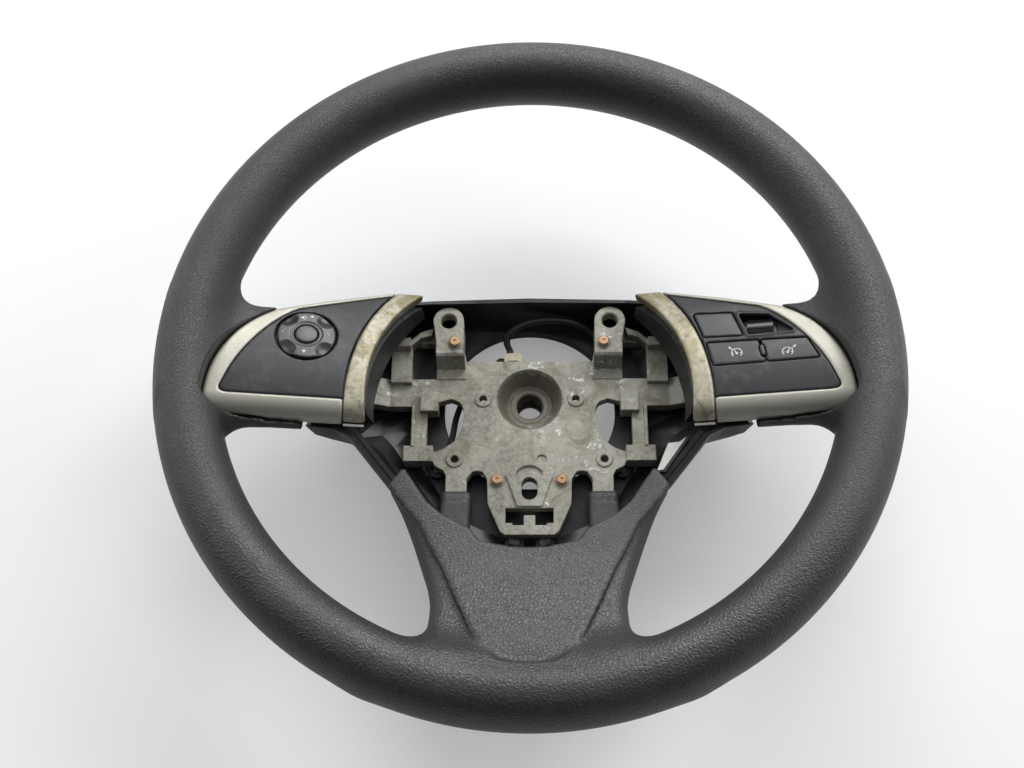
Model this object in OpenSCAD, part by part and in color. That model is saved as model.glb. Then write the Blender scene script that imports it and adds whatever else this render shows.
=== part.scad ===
// Car steering wheel without its airbag: a die-cast armature overmoulded with
// a soft grip, two switch pods, a rear cover and the hub hardware.
// +Z is the steering axis towards the driver, +Y is twelve o'clock.
// The origin is the middle of the column bush's top ring.

/* [Rim] */
// Outside diameter of the wheel
rim_d = 376; // [364:1:390]
// Width of the rim section, across the wheel
rim_section_w = 32; // [30:0.5:34]
// Depth of the rim section, along the steering axis
rim_section_h = 38; // [35:0.5:40]
// Height of the rim's middle above the bush's top ring
dish = 70; // [67:0.5:73]
// Radius of the cast ring inside the grip
core_r = 6.5; // [5:0.5:8]

/* [Hub casting] */
// Height of the plate's face above the bush's top ring
plate_top = 10.5; // [9:0.5:11]
// Thickness of the plate
plate_t = 6; // [5:0.5:7]
// Thickness of the spoke arms
arm_t = 7; // [6:0.5:8]
// Height of the airbag ears' face
ear_top = 22; // [20:0.5:24]
// Thickness of the airbag ears
ear_t = 7; // [5:0.5:9]
// Distance of each ear bore from the middle
ear_x = 44.3; // [43:0.1:45.5]
// Place of the ear bores towards twelve o'clock
ear_y = 42.2; // [41:0.1:43]
// Radius of the ear bores
ear_bore_r = 4.3; // [3:0.1:5]
// Radius of the conical recess at the plate's face
recess_r = 18; // [16:0.5:19]
// Radius of the cast boss that holds the bush
boss_r = 20.5; // [19:0.5:23]
// Distance of the two puller holes from the middle
puller_x = 25.2; // [24.5:0.1:26]
// Radius of the puller holes
puller_r = 2.1; // [1.5:0.1:3]
// Distance of the two lower holes from the middle
lower_hole_x = 40; // [39:0.5:41]
// Radius of the lower holes
lower_hole_r = 2.2; // [1.5:0.1:3]

/* [Column bush] */
// Radius of the bush
bush_r = 10.2; // [9.5:0.1:10.8]
// Radius of the plain bore
bore_r = 7.25; // [6.5:0.05:8]
// Length of the bush
bush_len = 17.5; // [14:0.5:18]
// Length of the plain bore above the serrations
plain_len = 6; // [4:0.5:8]
// Depth of the serrations
serration_depth = 0.5; // [0.3:0.1:0.8]

/* [Switch pods] */
// Slope of the pods, rising towards the rim
pod_slope = 9.65; // [8.5:0.1:10.5]
// Radius of the pods' crown
crown_r = 156; // [145:1:170]
// Thickness of the bezels and panels
trim_t = 2.2; // [1.8:0.1:2.6]
// Radius of the band's hub side
band_in_r = 91.7; // [90:0.1:93]
// Where the band's hub side crosses the ridge, from the pod's middle
band_x = -32.3; // [-33:0.1:-31.5]
// Radius of the seam between band and bezel
seam_r = 116.5; // [115.5:0.1:117.5]
// Where the seam crosses the ridge, from the pod's middle
seam_x = -21.5; // [-22:0.1:-21]
// Gap between trims that meet
trim_gap = 0.25; // [0.15:0.05:0.4]

/* [Controls] */
// Radius of the four-way ring
ring_r = 15.8; // [14.5:0.1:16.5]
// Radius of the button in the ring
mode_r = 6; // [5:0.1:6.8]
// Travel of the buttons
key_travel = 0.9; // [0.7:0.05:1.1]
// Gap around the moving keys
key_gap = 0.35; // [0.3:0.05:0.5]
// Radius of the thumb roller
roller_r = 7.2; // [6.5:0.1:7.6]
// Width of the thumb roller
roller_w = 13; // [11:0.5:13.5]

/* [Rear cover] */
// Radius of the opening for the column
column_open_r = 47.3; // [45:0.1:49]
// Height of the cover's floor below the bush's top ring
floor_drop = 5; // [4:0.5:6]
// Wall of the cover
cover_wall = 2.5; // [2:0.1:3]
// Depth of the collar round the column opening
collar_depth = 15; // [13.5:0.5:18]

/* [Hidden] */
eps = 0.01;
fit_gap = 0.3;

// Rim and dish
rim_r = rim_d / 2;
rim_c = rim_r - rim_section_w / 2;
// The pods and arms are drawn for this rim radius and follow any other
drawn_rim_r = 188;
shift_r = rim_r - drawn_rim_r;

// Pod frame: x runs out to the rim along the slope, y to twelve o'clock
pod_x = 114.6 + shift_r / 2;
pod_z = dish - 4.85;
ridge_y = -22;
strip_a = 10.4;
strip_h = 12;
band_c = [band_x - band_in_r, ridge_y + 5];
seam_c = [seam_x - seam_r, ridge_y];
band_top = 50.6;
skirt = 9;

// Key frame: level with the crown at this point of the pod
key_y = 15;
key_tilt = asin((key_y - ridge_y) / crown_r);
key_z = -(crown_r - crown_r * cos(key_tilt));
leg_end = -9.6;
dome_h = 1;
dome_top = leg_end - key_travel - 0.05;
mat_t = 1;
board_t = 1.6;
mat_z = dome_top - dome_h - mat_t;
board_z = mat_z - board_t;
tray_floor = board_z - 3.4;
tray_wall = 2;
tray_step = 0.4;
tray_x0 = -29;
tray_x1 = 22;
tray_y0 = -23;
tray_y1 = 19;
ring_at = [-0.8, 0.2];
pivot_z = -6.2;
pin_r = 1;
pin_gap = 0.05;
gimbal_in = 8.2;
gimbal_out = 10.4;
lug_t = 1.8;
axle_r = 1.5;
under = trim_t + trim_gap + fit_gap;
band_wall = 1.6;
band_skirt = 7;

// Hub casting, right half
plate_y = 22.8;
col_in = 64.3;
col_out = 75.6;
slot_y0 = 12.2;
slot_y1 = 34;
arm_y0 = -4;
arm_y1 = 12.2;
low_arm_in = 33.4;
low_arm_out = 44.5;
tongue_w = 22;
tongue_y = -77;
stud_r = 2.9;
stud_low = [17.2, -47];
stud_high = [40.6, 29];
lower_hole_y = -35;
ear_r = 8.4;

function arc(c, r, a0, a1, n) = [for (i = [0:n]) let (a = a0 + (a1 - a0) * i / n) c + r * [cos(a), sin(a)]];
function bez(p, n) = [for (i = [0:n]) let (t = i / n, u = 1 - t)
    u * u * u * p[0] + 3 * u * u * t * p[1] + 3 * u * t * t * p[2] + t * t * t * p[3]];
function flip(pts) = [for (i = [len(pts) - 1:-1:0]) [-pts[i][0], pts[i][1]]];
function last(v) = v[len(v) - 1];

// Linear interpolation in a table of [x, value] rows with x rising
function table(t, x) = x <= t[0][0] ? t[0][1] : x >= last(t)[0] ? last(t)[1] :
    let (k = [for (i = [0:len(t) - 2]) if (x >= t[i][0] && x < t[i + 1][0]) i][0])
    t[k][1] + (t[k + 1][1] - t[k][1]) * (x - t[k][0]) / (t[k + 1][0] - t[k][0]);

module both() {
    children();
    mirror([1, 0, 0]) children();
}

// Prism of a [y, z] outline along X
module along_x(x0, x1, pts) {
    translate([x0, 0, 0]) rotate([90, 0, 90]) linear_extrude(x1 - x0) polygon(pts);
}

// Prism of an [x, z] outline along Y
module along_y(y0, y1, pts) {
    translate([0, y1, 0]) rotate([90, 0, 0]) linear_extrude(y1 - y0) polygon(pts);
}

module slab(z0, z1) {
    translate([0, 0, z0]) linear_extrude(z1 - z0) children();
}

// Closed skin through rings of equally many points
module skin(rings) {
    n = len(rings[0]);
    m = len(rings);
    pts = [for (r = rings) for (p = r) p];
    sides = [for (j = [0:m - 2]) for (i = [0:n - 1])
        each let (a = j * n + i, b = j * n + (i + 1) % n) [[a, b, b + n], [a, b + n, a + n]]];
    caps = [[for (i = [n - 1:-1:0]) i], [for (i = [0:n - 1]) (m - 1) * n + i]];
    polyhedron(pts, concat(sides, caps));
}

// Armature

// Height of the side arm's upper face at a distance from the axis
side_arm_top = [[60, plate_top], [76, plate_top], [96 + shift_r / 2, dish - 50],
                [115 + shift_r / 2, dish - 37], [135 + shift_r / 2, dish - 25],
                [150 + shift_r, dish - 20], [165 + shift_r, dish - 5], [rim_c, dish + 3]];
// Height of the lower arms' upper face, by distance below the axis
low_arm_top = [[44, plate_top], [60, plate_top], [98, dish - 33], [130 + shift_r / 2, dish - 18],
               [150 + shift_r, dish - 8], [rim_c - 6, dish]];

function arm_outline(top, grow = 0) = concat(
    [for (p = top) [p[0], p[1] + grow]],
    [for (i = [len(top) - 1:-1:0]) [top[i][0], top[i][1] - arm_t - grow]]);

module plate_half() {
    polygon([[-0.5, plate_y], [34.6, plate_y], [36, 30], [ear_x - ear_r, ear_y],
             [ear_x + ear_r, ear_y], [53, 38.5], [60, 37], [65, 33.5],
             [col_out - 1, 33.5], [col_out, 30], [col_out, arm_y0], [63.6, arm_y0],
             [63.6, -27.5], [67.5, -27.5], [67.5, -36.3], [51.6, -36.3], [50.4, -38.7],
             [low_arm_out + 1.5, -41], [low_arm_out, -44], [low_arm_out, -58],
             [low_arm_in, -58], [low_arm_in, -46], [30.6, -42], [27.8, -41.4], [25, -42],
             [22.5, -46], [tongue_w, -60], [15.5, tongue_y + 2], [13, tongue_y], [-0.5, tongue_y]]);
}

// Window between the plate's waist and the stem
module waist_window() {
    polygon(concat([[49.4, -1.5], [49.4, -8], [55.4, -8], [55.4, -27.5], [51, -30.5], [46.3, -28.8]],
                   bez([[42, -25.8], [35.5, -22], [33.5, -5], [38, -1.5]], 8), [[42.5, 0.4]]));
}

module casting_plan() {
    offset(r = 1.2, $fn = 20) offset(delta = -1.2) difference() {
        both() plate_half();
        both() waist_window();
        both() translate([(col_in + 51) / 2, (slot_y0 + slot_y1) / 2])
            square([col_in - 51, slot_y1 - slot_y0], center = true);
    }
}

module ear() {
    intersection() {
        slab(-2, ear_top + 5) {
            translate([ear_x, ear_y]) circle(r = ear_r, $fn = 64);
            polygon([[34.7, 12], [50.8, 12], [50.8, 30], [ear_x + ear_r, ear_y],
                     [ear_x - ear_r, ear_y], [35.8, 26]]);
        }
        along_x(30, 60, [[12, plate_top - plate_t], [20, plate_top - plate_t],
                         [36, ear_top - ear_t], [60, ear_top - ear_t],
                         [60, ear_top], [plate_y, ear_top], [plate_y - 1.5, ear_top - 1],
                         [18, plate_top + 0.4], [12, plate_top + 0.4]]);
    }
}

// Uprights that once held the airbag's side hooks
module side_structure() {
    slab(plate_top - plate_t, plate_top + 3.5) translate([col_in, 9])
        square([col_out - col_in, 23]);
    slab(plate_top - plate_t, plate_top + 9.5) translate([65, 28]) square([9.8, 5.2]);
    slab(plate_top - 2, plate_top + 6) polygon([[54, 36], [60, 34.6], [66, 29], [66, 32.5],
                                               [60, 38], [53, 40.5]]);
    slab(plate_top - plate_t, plate_top + 3.5) translate([49.4, -8]) square([9.7, 11]);
    difference() {
        slab(plate_top - plate_t - 2, plate_top + 1.5) translate([51.6, -36.3]) square([15.9, 8.8]);
        translate([50, -36.8, plate_top - 3]) cube([18, 2, 2]);
    }
    slab(plate_top - plate_t - 1, plate_top + 2) translate([61.8, -27.8]) square([1.8, 24]);
}

module armature_arms() {
    both() difference() {
        along_y(arm_y0, arm_y1, arm_outline(side_arm_top));
        along_y(arm_y0 + 4, arm_y1 - 4, [for (p = arm_outline([for (q = side_arm_top)
            if (q[0] > 76 && q[0] < 151 + shift_r) q])) [p[0], p[1] + 3.5]]);
    }
    both() along_x(low_arm_in, low_arm_out, [for (p = arm_outline(low_arm_top)) [-p[0], p[1]]]);
}

module armature_ring() {
    rotate_extrude($fn = 96) translate([rim_c, dish]) circle(r = core_r, $fn = 32);
}

// Ring of the casting, a node of its own that the arms end on
module rim_core() { color([0.62, 0.61, 0.56]) armature_ring(); }

module ring_pad(x, y, r, z, h) {
    translate([x, y, z - 1]) cylinder(r1 = r + 0.6, r2 = r, h = h + 1, $fn = 48);
}

module armature() {
    color([0.62, 0.61, 0.56]) difference() {
        union() {
            slab(plate_top - plate_t, plate_top) casting_plan();
            translate([0, 0, -bush_len + 4])
                cylinder(r1 = boss_r - 1.5, r2 = boss_r, h = bush_len + 3, $fn = 96);
            both() {
                ear();
                side_structure();
                ring_pad(puller_x, 0, 4.4, plate_top, 0.7);
                ring_pad(lower_hole_x, lower_hole_y, 4.4, plate_top, 0.7);
                ring_pad(stud_low[0], stud_low[1], 3.6, plate_top, 0.6);
                ring_pad(stud_high[0], stud_high[1], 3.6, ear_top, 0.5);
                // ribs under the plate
                for (a = [-62, -20, 28]) rotate([0, 0, a]) translate([boss_r - 2, -1.5, 1])
                    cube([15, 3, plate_top - plate_t]);
            }
            // raised land round the latch hole
            slab(plate_top - 1, plate_top + 1.1) offset(r = 1.5, $fn = 20)
                polygon([[-11, -44.5], [11, -44.5], [8.5, -51], [5.5, -60.2], [-5.5, -60.2], [-8.5, -51]]);
            difference() {
                armature_arms();
                armature_ring();
            }
        }
        // bush seat and the conical recess round it
        translate([0, 0, -bush_len - 1]) cylinder(r = bush_r, h = bush_len + 4, $fn = 96);
        translate([0, 0, 0.4]) cylinder(r1 = 12.3, r2 = recess_r, h = plate_top - 0.4 + eps, $fn = 96);
        translate([0, 0, plate_top]) cylinder(r = recess_r, h = 3, $fn = 96);
        both() {
            translate([puller_x, 0, -5]) cylinder(r = puller_r, h = 25, $fn = 48);
            translate([lower_hole_x, lower_hole_y, -5]) cylinder(r = lower_hole_r, h = 25, $fn = 48);
            translate([ear_x, ear_y, 0]) cylinder(r = ear_bore_r, h = ear_top + 5, $fn = 64);
            translate([ear_x, ear_y, ear_top - 0.7])
                cylinder(r1 = ear_bore_r, r2 = ear_bore_r + 0.9, h = 0.9, $fn = 64);
            for (p = [[stud_low, plate_top], [stud_high, ear_top]])
                translate([p[0][0], p[0][1], p[1] - 4]) cylinder(r = 1.6, h = 8, $fn = 32);
            // airbag latch slot and its tab
            slab(-5, plate_top + 5) translate([5, -70.6]) square([7.6, 7]);
        }
        slab(-5, plate_top + 5) translate([-12.6, -66.4]) square([25.2, 3.9]);
        slab(-5, plate_top + 5) both() translate([3, -71.8]) square([6, 7]);
        // latch hole
        slab(-5, plate_top + 5) hull() for (y = [-54, -49.8]) translate([0, y]) circle(r = 4.2, $fn = 40);
        // shallow cast marks: a crescent and a dimple
        translate([0, 0, plate_top - 1.2]) intersection() {
            difference() {
                translate([0, -47]) cylinder(r = 8.6, h = 3, $fn = 48);
                translate([0, -49, -1]) cylinder(r = 7.2, h = 5, $fn = 48);
            }
            translate([-7, -44.4, 0]) cube([14, 8, 3]);
        }
        translate([6.5, -35, plate_top - 0.8]) cylinder(r = 2.6, h = 2, $fn = 32);
    }
}

// Column bush: plain bore above, serrations below
module hub_bush() {
    teeth = 36;
    color([0.55, 0.55, 0.56]) difference() {
        translate([0, 0, -bush_len]) cylinder(r = bush_r, h = bush_len + 0.6, $fn = 96);
        translate([0, 0, -plain_len]) cylinder(r = bore_r, h = plain_len + 2, $fn = 96);
        translate([0, 0, 0.05]) cylinder(r1 = bore_r, r2 = bore_r + 0.9, h = 0.56, $fn = 96);
        translate([0, 0, -bush_len - 1]) linear_extrude(bush_len + 1 - plain_len + eps)
            polygon([for (i = [0:2 * teeth - 1]) (bore_r - 0.15 - (i % 2) * serration_depth)
                * [cos(180 * i / teeth), sin(180 * i / teeth)]]);
    }
}

module horn_contacts() {
    color([0.78, 0.45, 0.28]) both() for (p = [[stud_low, plate_top], [stud_high, ear_top]])
        translate([p[0][0], p[0][1], p[1]]) difference() {
            union() {
                translate([0, 0, -3.9]) cylinder(r = 1.55, h = 5, $fn = 32);
                translate([0, 0, 0.65]) cylinder(r = stud_r, h = 1.5, $fn = 48);
                translate([0, 0, 2.15 - eps]) cylinder(r1 = stud_r, r2 = stud_r - 0.6, h = 0.45, $fn = 48);
            }
            translate([0, 0, 2]) cylinder(r = 0.9, h = 2, $fn = 24);
        }
}

// Grip

// Rim section: an oval a little fuller on the driver's side
function rim_outline(n) = [for (i = [0:n - 1]) let (a = 360 * i / n)
    [rim_c + rim_section_w / 2 * cos(a), dish + rim_section_h / 2 * sin(a) * (sin(a) > 0 ? 1 : 0.97)]];

// Lower spoke, by distance below the axis: half width, crease, face and back
spoke_w = [[54, 74], [63.6, 69.8], [74, 64.2], [89, 57.4], [104, 51.6], [114, 48.9], [123, 47.9],
           [130, 48.7], [136, 52], [140, 57], [144, 65], [148, 76], [160, 70]];
spoke_crease = [[54, 67], [73, 61], [95, 49], [113, 41.6], [129, 33.3], [137, 28.4], [144, 24.5],
                [151, 17], [160, 17]];
spoke_face = [[54, dish - 18], [75, dish - 17], [98, dish - 13], [154, dish + 9], [160, dish + 11]];
spoke_back = [[54, dish - 36], [75, dish - 42], [90, dish - 47], [98, dish - 47], [120, dish - 38],
              [140, dish - 27], [160, dish - 16]];

function spoke_ring(d) = let (
        w = table(spoke_w, d), c = min(table(spoke_crease, d), w - 4), f = table(spoke_face, d),
        b = table(spoke_back, d), s = f - (f - b) * 0.5,
        y = -(d + (d > 100 ? shift_r * (d - 100) / 55 : 0)),
        half = concat([[c * 0.5, f], [c, f - 0.5]],
                      [for (a = [22:17:90]) [c + (w - c) * sin(a), s + (f - 0.5 - s) * cos(a)]],
                      [for (a = [20:23.3:90]) [w - 9 * (1 - cos(a)), s - (s - b) * sin(a)]]))
    concat([for (p = half) [p[0], y, p[1]]], [for (p = flip(half)) [p[0], y, p[1]]]);

module lower_spoke() {
    skin([for (d = [55, 65, 75, 86, 96, 104, 114, 123, 130, 136, 140, 144, 148, 154, 160]) spoke_ring(d)]);
}

// Foam lining round the lower arms where they leave the spoke
module arm_sleeves(grow = 0) {
    top = [for (d = [53.5, 60, 98, 104]) [d, table(low_arm_top, d)]];
    both() along_x(low_arm_in - 2.5 - grow, low_arm_out + 2.5 + grow,
        [for (p = arm_outline(top, 2.5 + grow)) [-p[0], p[1]]]);
}

// Spoke roots at three and nine o'clock
root_lo = [[115, -34.2], [130, -34.6], [142, -36], [149, -41], [154, -48], [158, -53], [165, -52]];
root_hi = [[115, 36.5], [130, 34.5], [140, 34.5], [147, 38], [152, 45], [156, 52], [165, 52]];
root_bottom = [[115, dish - 45], [130, dish - 37], [145, dish - 28], [158, dish - 20], [165, dish - 17]];
root_top = [[115, dish - 6], [130, dish - 1.5], [142, dish + 1.5], [150, dish + 4], [158, dish + 9],
            [165, dish + 12]];

function root_ring(x) = let (lo = table(root_lo, x), hi = table(root_hi, x),
        b = table(root_bottom, x), t = table(root_top, x),
        cy = (lo + hi) / 2, ry = (hi - lo) / 2, cz = (b + t) / 2, rz = (t - b) / 2)
    [for (i = [0:27]) let (a = 360 * (i + 0.5) / 28, c = cos(a), s = sin(a))
        [x + shift_r, cy + ry * sign(c) * pow(abs(c), 0.62), cz + rz * sign(s) * pow(abs(s), 0.62)]];

module spoke_root() {
    skin([for (x = [165, 158, 154, 150, 146, 140, 130, 115]) root_ring(x)]);
}

// The airbag's well: everything inside the spoke's upper edge
module airbag_well() {
    inner = [[0, -98], [10, -97.3], [22.6, -94.2], [27.2, -88], [44, -77.7], [52.8, -70.3], [62.4, -56.7],
             [69.2, -63.6], [95, -63.6], [95, -20], [-0.1, -20]];
    slab(-30, dish + 40) both() polygon(inner);
}

module grip() {
    color([0.17, 0.175, 0.18]) difference() {
        union() {
            rotate_extrude($fn = 120) polygon(rim_outline(36));
            difference() {
                lower_spoke();
                airbag_well();
            }
            arm_sleeves();
            both() spoke_root();
        }
        armature_arms();
        armature_ring();
        for (side = [1, -1]) pod(side) pod_recess();
    }
}

// Switch pods

module pod(side) {
    mirror([side < 0 ? 1 : 0, 0, 0]) translate([pod_x, 0, pod_z]) rotate([0, -pod_slope, 0]) children();
}

module key_frame() {
    translate([0, key_y, key_z]) rotate([-key_tilt, 0, 0]) children();
}

// Crown of the pods, a [y, z] outline lowered by the given depth
function crown(depth) = concat(
    [[62, -80]],
    [for (i = [0:12]) let (y = 62 - (62 - ridge_y) * i / 12)
        [y, -(crown_r - sqrt(crown_r * crown_r - (y - ridge_y) * (y - ridge_y))) - depth]],
    [for (a = [15:15:90]) [ridge_y - (strip_a - depth) * sin(a), -strip_h + (strip_h - depth) * cos(a)]],
    [[ridge_y - strip_a + depth, -80]]);

module crown_solid(depth) {
    along_x(-75, 60, crown(depth));
}

tip = [48 + shift_r / 2, ridge_y];
bezel_arc_r = 63.5;
bezel_arc_c = [tip[0] - bezel_arc_r, -24];
strip_y = ridge_y - strip_a;

// Arc of the seam or of the band's hub side from one height to another
function seam_arc(y0, y1, n) = arc(seam_c, seam_r, asin((y0 - seam_c[1]) / seam_r),
    asin((y1 - seam_c[1]) / seam_r), n);
function band_arc(y0, y1, n) = arc(band_c, band_in_r, asin((y0 - band_c[1]) / band_in_r),
    asin((y1 - band_c[1]) / band_in_r), n);

// The pod's outer edge from the foot of the seam to the top of the bezel
outer_edge = concat([[tip[0] - 38, strip_y - 0.2], [tip[0] - 20, strip_y + 0.4]],
    bez([tip + [-10, -9], tip + [-4, -8], tip + [0, -5.5], tip], 5),
    arc(bezel_arc_c, bezel_arc_r, 8, 62, 10), [[-12, 40.7]]);

// The panel's edge from its lower corner to its top
panel_edge = concat([tip + [-28, 0.3]],
    bez([tip + [-13, 0.3], tip + [-9, 0.3], tip + [-7, 1.5], tip + [-7.8, 4.2]], 4),
    bez([tip + [-11, 13], tip + [-16, 26], tip + [-30, 47], tip + [-44, 54.8]], 8), [[-22, 40.7]]);

module bezel_plan() { polygon(concat(seam_arc(50.5, strip_y - 0.2, 12), outer_edge)); }
module bezel_plan_open() { polygon(concat([[-66, 55.8], [-66, strip_y]], outer_edge)); }
module panel_plan() { polygon(concat(seam_arc(47.5, ridge_y + 0.4, 12), panel_edge)); }
module panel_plan_open() { polygon(concat([[-72, 55.9], [-72, ridge_y + 0.3]], panel_edge)); }
module pod_plan() { polygon(concat(band_arc(49, strip_y - 0.2, 16), outer_edge)); }

// Everything lower than the bottom strip of a pod
module below_strip() {
    translate([-75, -60, -40]) cube([150, 60 + ridge_y + 4, 40 - strip_h - 3]);
}

module bezel() {
    color([0.72, 0.71, 0.66]) difference() {
        intersection() {
            slab(-30, 10) bezel_plan();
            crown_solid(0);
        }
        intersection() {
            slab(-40, 20) offset(delta = -trim_t) bezel_plan_open();
            crown_solid(trim_t);
        }
        slab(-40, 20) panel_plan_open();
        crown_solid(skirt);
        below_strip();
    }
}

// Openings in a panel for its keys, in the key frame
module left_openings(gap) {
    translate([ring_at[0], ring_at[1], -8]) cylinder(r = ring_r + gap, h = 20, $fn = 96);
}

cancel_pts = [[-30.4, 16.4], [-10.2, 15.3], [-5.2, -1.6], [-25.6, -0.7]];
window_pts = [[-8.2, 14.6], [9, 12.2], [22.6, -1.7], [-3.2, -2.2]];
cruise_pts = [[-24.4, -4.5], [2, -5.1], [5, -18.8], [-21.4, -18.9]];
limiter_pts = [[2.9, -5.1], [26.4, -5.8], [31.8, -18.6], [5.9, -18.8]];
roller_at = [3.6, 4.6, -roller_r - 0.4];
cheek_t = 1.6;

module key_plan(pts, grow) {
    offset(delta = grow) polygon(pts);
}

module right_openings(gap) {
    for (pts = [cancel_pts, cruise_pts, limiter_pts]) slab(-8, 12) key_plan(pts, gap);
    translate([roller_at[0] - roller_w / 2 - gap, roller_at[1] - roller_r - gap + 1, -8])
        cube([roller_w + 2 * gap, 2 * (roller_r + gap - 1), 20]);
    slab(-1.5, 12) key_plan(window_pts, -0.9);
}

module panel() {
    color([0.2, 0.205, 0.23]) intersection() {
        slab(-40, 20) offset(delta = -trim_gap) panel_plan();
        difference() {
            crown_solid(trim_gap);
            crown_solid(trim_gap + trim_t);
        }
    }
}

// Band along the hub side of a pod
module band_plan(inset, seam_side) {
    difference() {
        intersection() {
            translate(seam_c) circle(r = seam_r + seam_side, $fn = 160);
            translate([-66, strip_y + inset]) square([66, band_top - strip_y - 2 * inset]);
        }
        translate(band_c) circle(r = band_in_r + inset, $fn = 160);
    }
}

module band() {
    color([0.66, 0.63, 0.53]) difference() {
        intersection() {
            slab(-30, 10) band_plan(0, -trim_gap);
            crown_solid(0);
        }
        intersection() {
            slab(-40, 20) band_plan(band_wall, 4);
            crown_solid(trim_t);
        }
        crown_solid(band_skirt);
        below_strip();
    }
}

// Space that a pod takes in the grip: deep behind the panel and the tray, shallow under the bezel
module pod_recess() {
    intersection() {
        slab(-60, 60) offset(delta = 0.4) pod_plan();
        union() {
            translate([-60, -60, -24]) cube([84, 130, 90]);
            translate([-60, -60, -strip_h - 3.6]) cube([140, 130, 80]);
            key_box(tray_x0 - 6, tray_x1 + 1, tray_y0 - 1, tray_y1 + 5, tray_floor - 2.6, 20);
        }
    }
}

module key_box(x0, x1, y0, y1, z0, z1) {
    key_frame() translate([x0, y0, z0]) cube([x1 - x0, y1 - y0, z1 - z0]);
}

// Wall of the housing that faces the hub, a cone that leans in below
module hub_wall() {
    wall_bottom = -34;
    intersection() {
        union() {
            intersection() {
                translate([band_c[0], band_c[1], wall_bottom])
                    cylinder(r1 = band_in_r + 0.4, r2 = band_in_r + 5.2, h = -wall_bottom, $fn = 160);
                crown_solid(band_skirt + fit_gap);
            }
            intersection() {
                translate([band_c[0], band_c[1], -30]) cylinder(r = band_in_r + 5, h = 30, $fn = 160);
                crown_solid(under);
            }
        }
        difference() {
            translate([-75, strip_y + band_wall + fit_gap + 1.2, wall_bottom]) cube([75, 74, 60]);
            translate([band_c[0], band_c[1], wall_bottom - eps])
                cylinder(r1 = band_in_r - 5.6, r2 = band_in_r + 0.4, h = -wall_bottom, $fn = 160);
            intersection() {
                translate([band_c[0], band_c[1], -30])
                    cylinder(r = band_in_r + band_wall + fit_gap, h = 40, $fn = 160);
                difference() {
                    crown_solid(-5);
                    crown_solid(band_skirt + fit_gap);
                }
            }
        }
    }
}

// Box of the tray, its outer corner cut to the pod's outline
module tray(inset, z0, z1) {
    intersection() {
        key_box(tray_x0 + inset, tray_x1 - inset, tray_y0 + inset, tray_y1 - inset, z0, z1);
        slab(-60, 20) offset(delta = -(trim_t + fit_gap + tray_step + inset)) pod_plan();
    }
}

// Housing: tray for the board, flange under the trims and the wall that faces the hub
module housing() {
    color([0.13, 0.135, 0.14]) difference() {
        union() {
            intersection() {
                slab(-40, 20) offset(delta = -(trim_t + fit_gap)) pod_plan();
                difference() {
                    crown_solid(under);
                    crown_solid(under + 2);
                }
                translate([-75, ridge_y - 4, -60]) cube([150, 100, 80]);
            }
            intersection() {
                tray(0, tray_floor, 5);
                crown_solid(under);
            }
            hub_wall();
        }
        // pocket for the board and the keys' legs
        tray(tray_wall, tray_floor + tray_wall, 30);
        // room for the caps
        key_frame() children();
        key_frame() screw_places() translate([0, 0, tray_floor - 1]) cylinder(r = 1.5, h = 4, $fn = 24);
    }
    // posts under the board
    color([0.13, 0.135, 0.14]) key_frame()
        for (x = [tray_x0 + 5, tray_x1 - 6], y = [tray_y0 + 5, tray_y1 - 8.5])
            translate([x, y, tray_floor + 1]) cylinder(r = 2.2, h = board_z - tray_floor - 1, $fn = 24);
}

module screw_places() {
    for (x = [tray_x0 + 9, -7]) translate([x, tray_y1 - 5.5, 0]) children();
}

module board() {
    color([0.1, 0.32, 0.2]) difference() {
        tray(tray_wall + fit_gap, board_z, board_z + board_t);
        children();
    }
}

module dome_mat(domes) {
    color([0.75, 0.75, 0.72]) difference() {
        union() {
            tray(tray_wall + fit_gap, mat_z, mat_z + mat_t);
            key_frame() for (p = domes) translate([p[0], p[1], mat_z])
                cylinder(r1 = 1.7, r2 = 1.2, h = mat_t + dome_h, $fn = 24);
        }
        children();
    }
}

ring_domes = [for (a = [0:90:270]) [ring_at[0] + 14.6 * cos(a), ring_at[1] + 14.6 * sin(a)]];
left_domes = concat([ring_at], ring_domes);
right_domes = [[-18, 8], [-10, -12], [15, -12]];

// Posts that carry the gimbal's pins, or the room for them
module gimbal_posts(grow) {
    for (s = [1, -1]) let (x = ring_at[0] + s * (gimbal_out + fit_gap + lug_t / 2))
        key_box(x - lug_t / 2 - grow, x + lug_t / 2 + grow, ring_at[1] - 2 - grow, ring_at[1] + 2 + grow,
                tray_floor + 1, pivot_z + lug_t);
}

// Cheeks that carry the roller's axle
module roller_cheeks() {
    for (s = [1, -1]) let (x = roller_at[0] + s * (roller_w / 2 + fit_gap + cheek_t / 2))
        key_box(x - cheek_t / 2, x + cheek_t / 2, roller_at[1] - 3, roller_at[1] + 3, tray_floor + 1, -4.4);
}

module roller_room() {
    half = roller_w / 2 + cheek_t + 2 * fit_gap;
    key_box(roller_at[0] - half, roller_at[0] + half, roller_at[1] - roller_r + 0.6,
            roller_at[1] + roller_r - 0.6, tray_floor, 0);
}

module left_housing() {
    pod(-1) {
        housing() left_openings(1);
        color([0.13, 0.135, 0.14]) difference() {
            gimbal_posts(0);
            key_frame() translate([ring_at[0] - 20, ring_at[1], pivot_z]) rotate([0, 90, 0])
                cylinder(r = pin_r + pin_gap, h = 40, $fn = 32);
        }
    }
}

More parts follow.
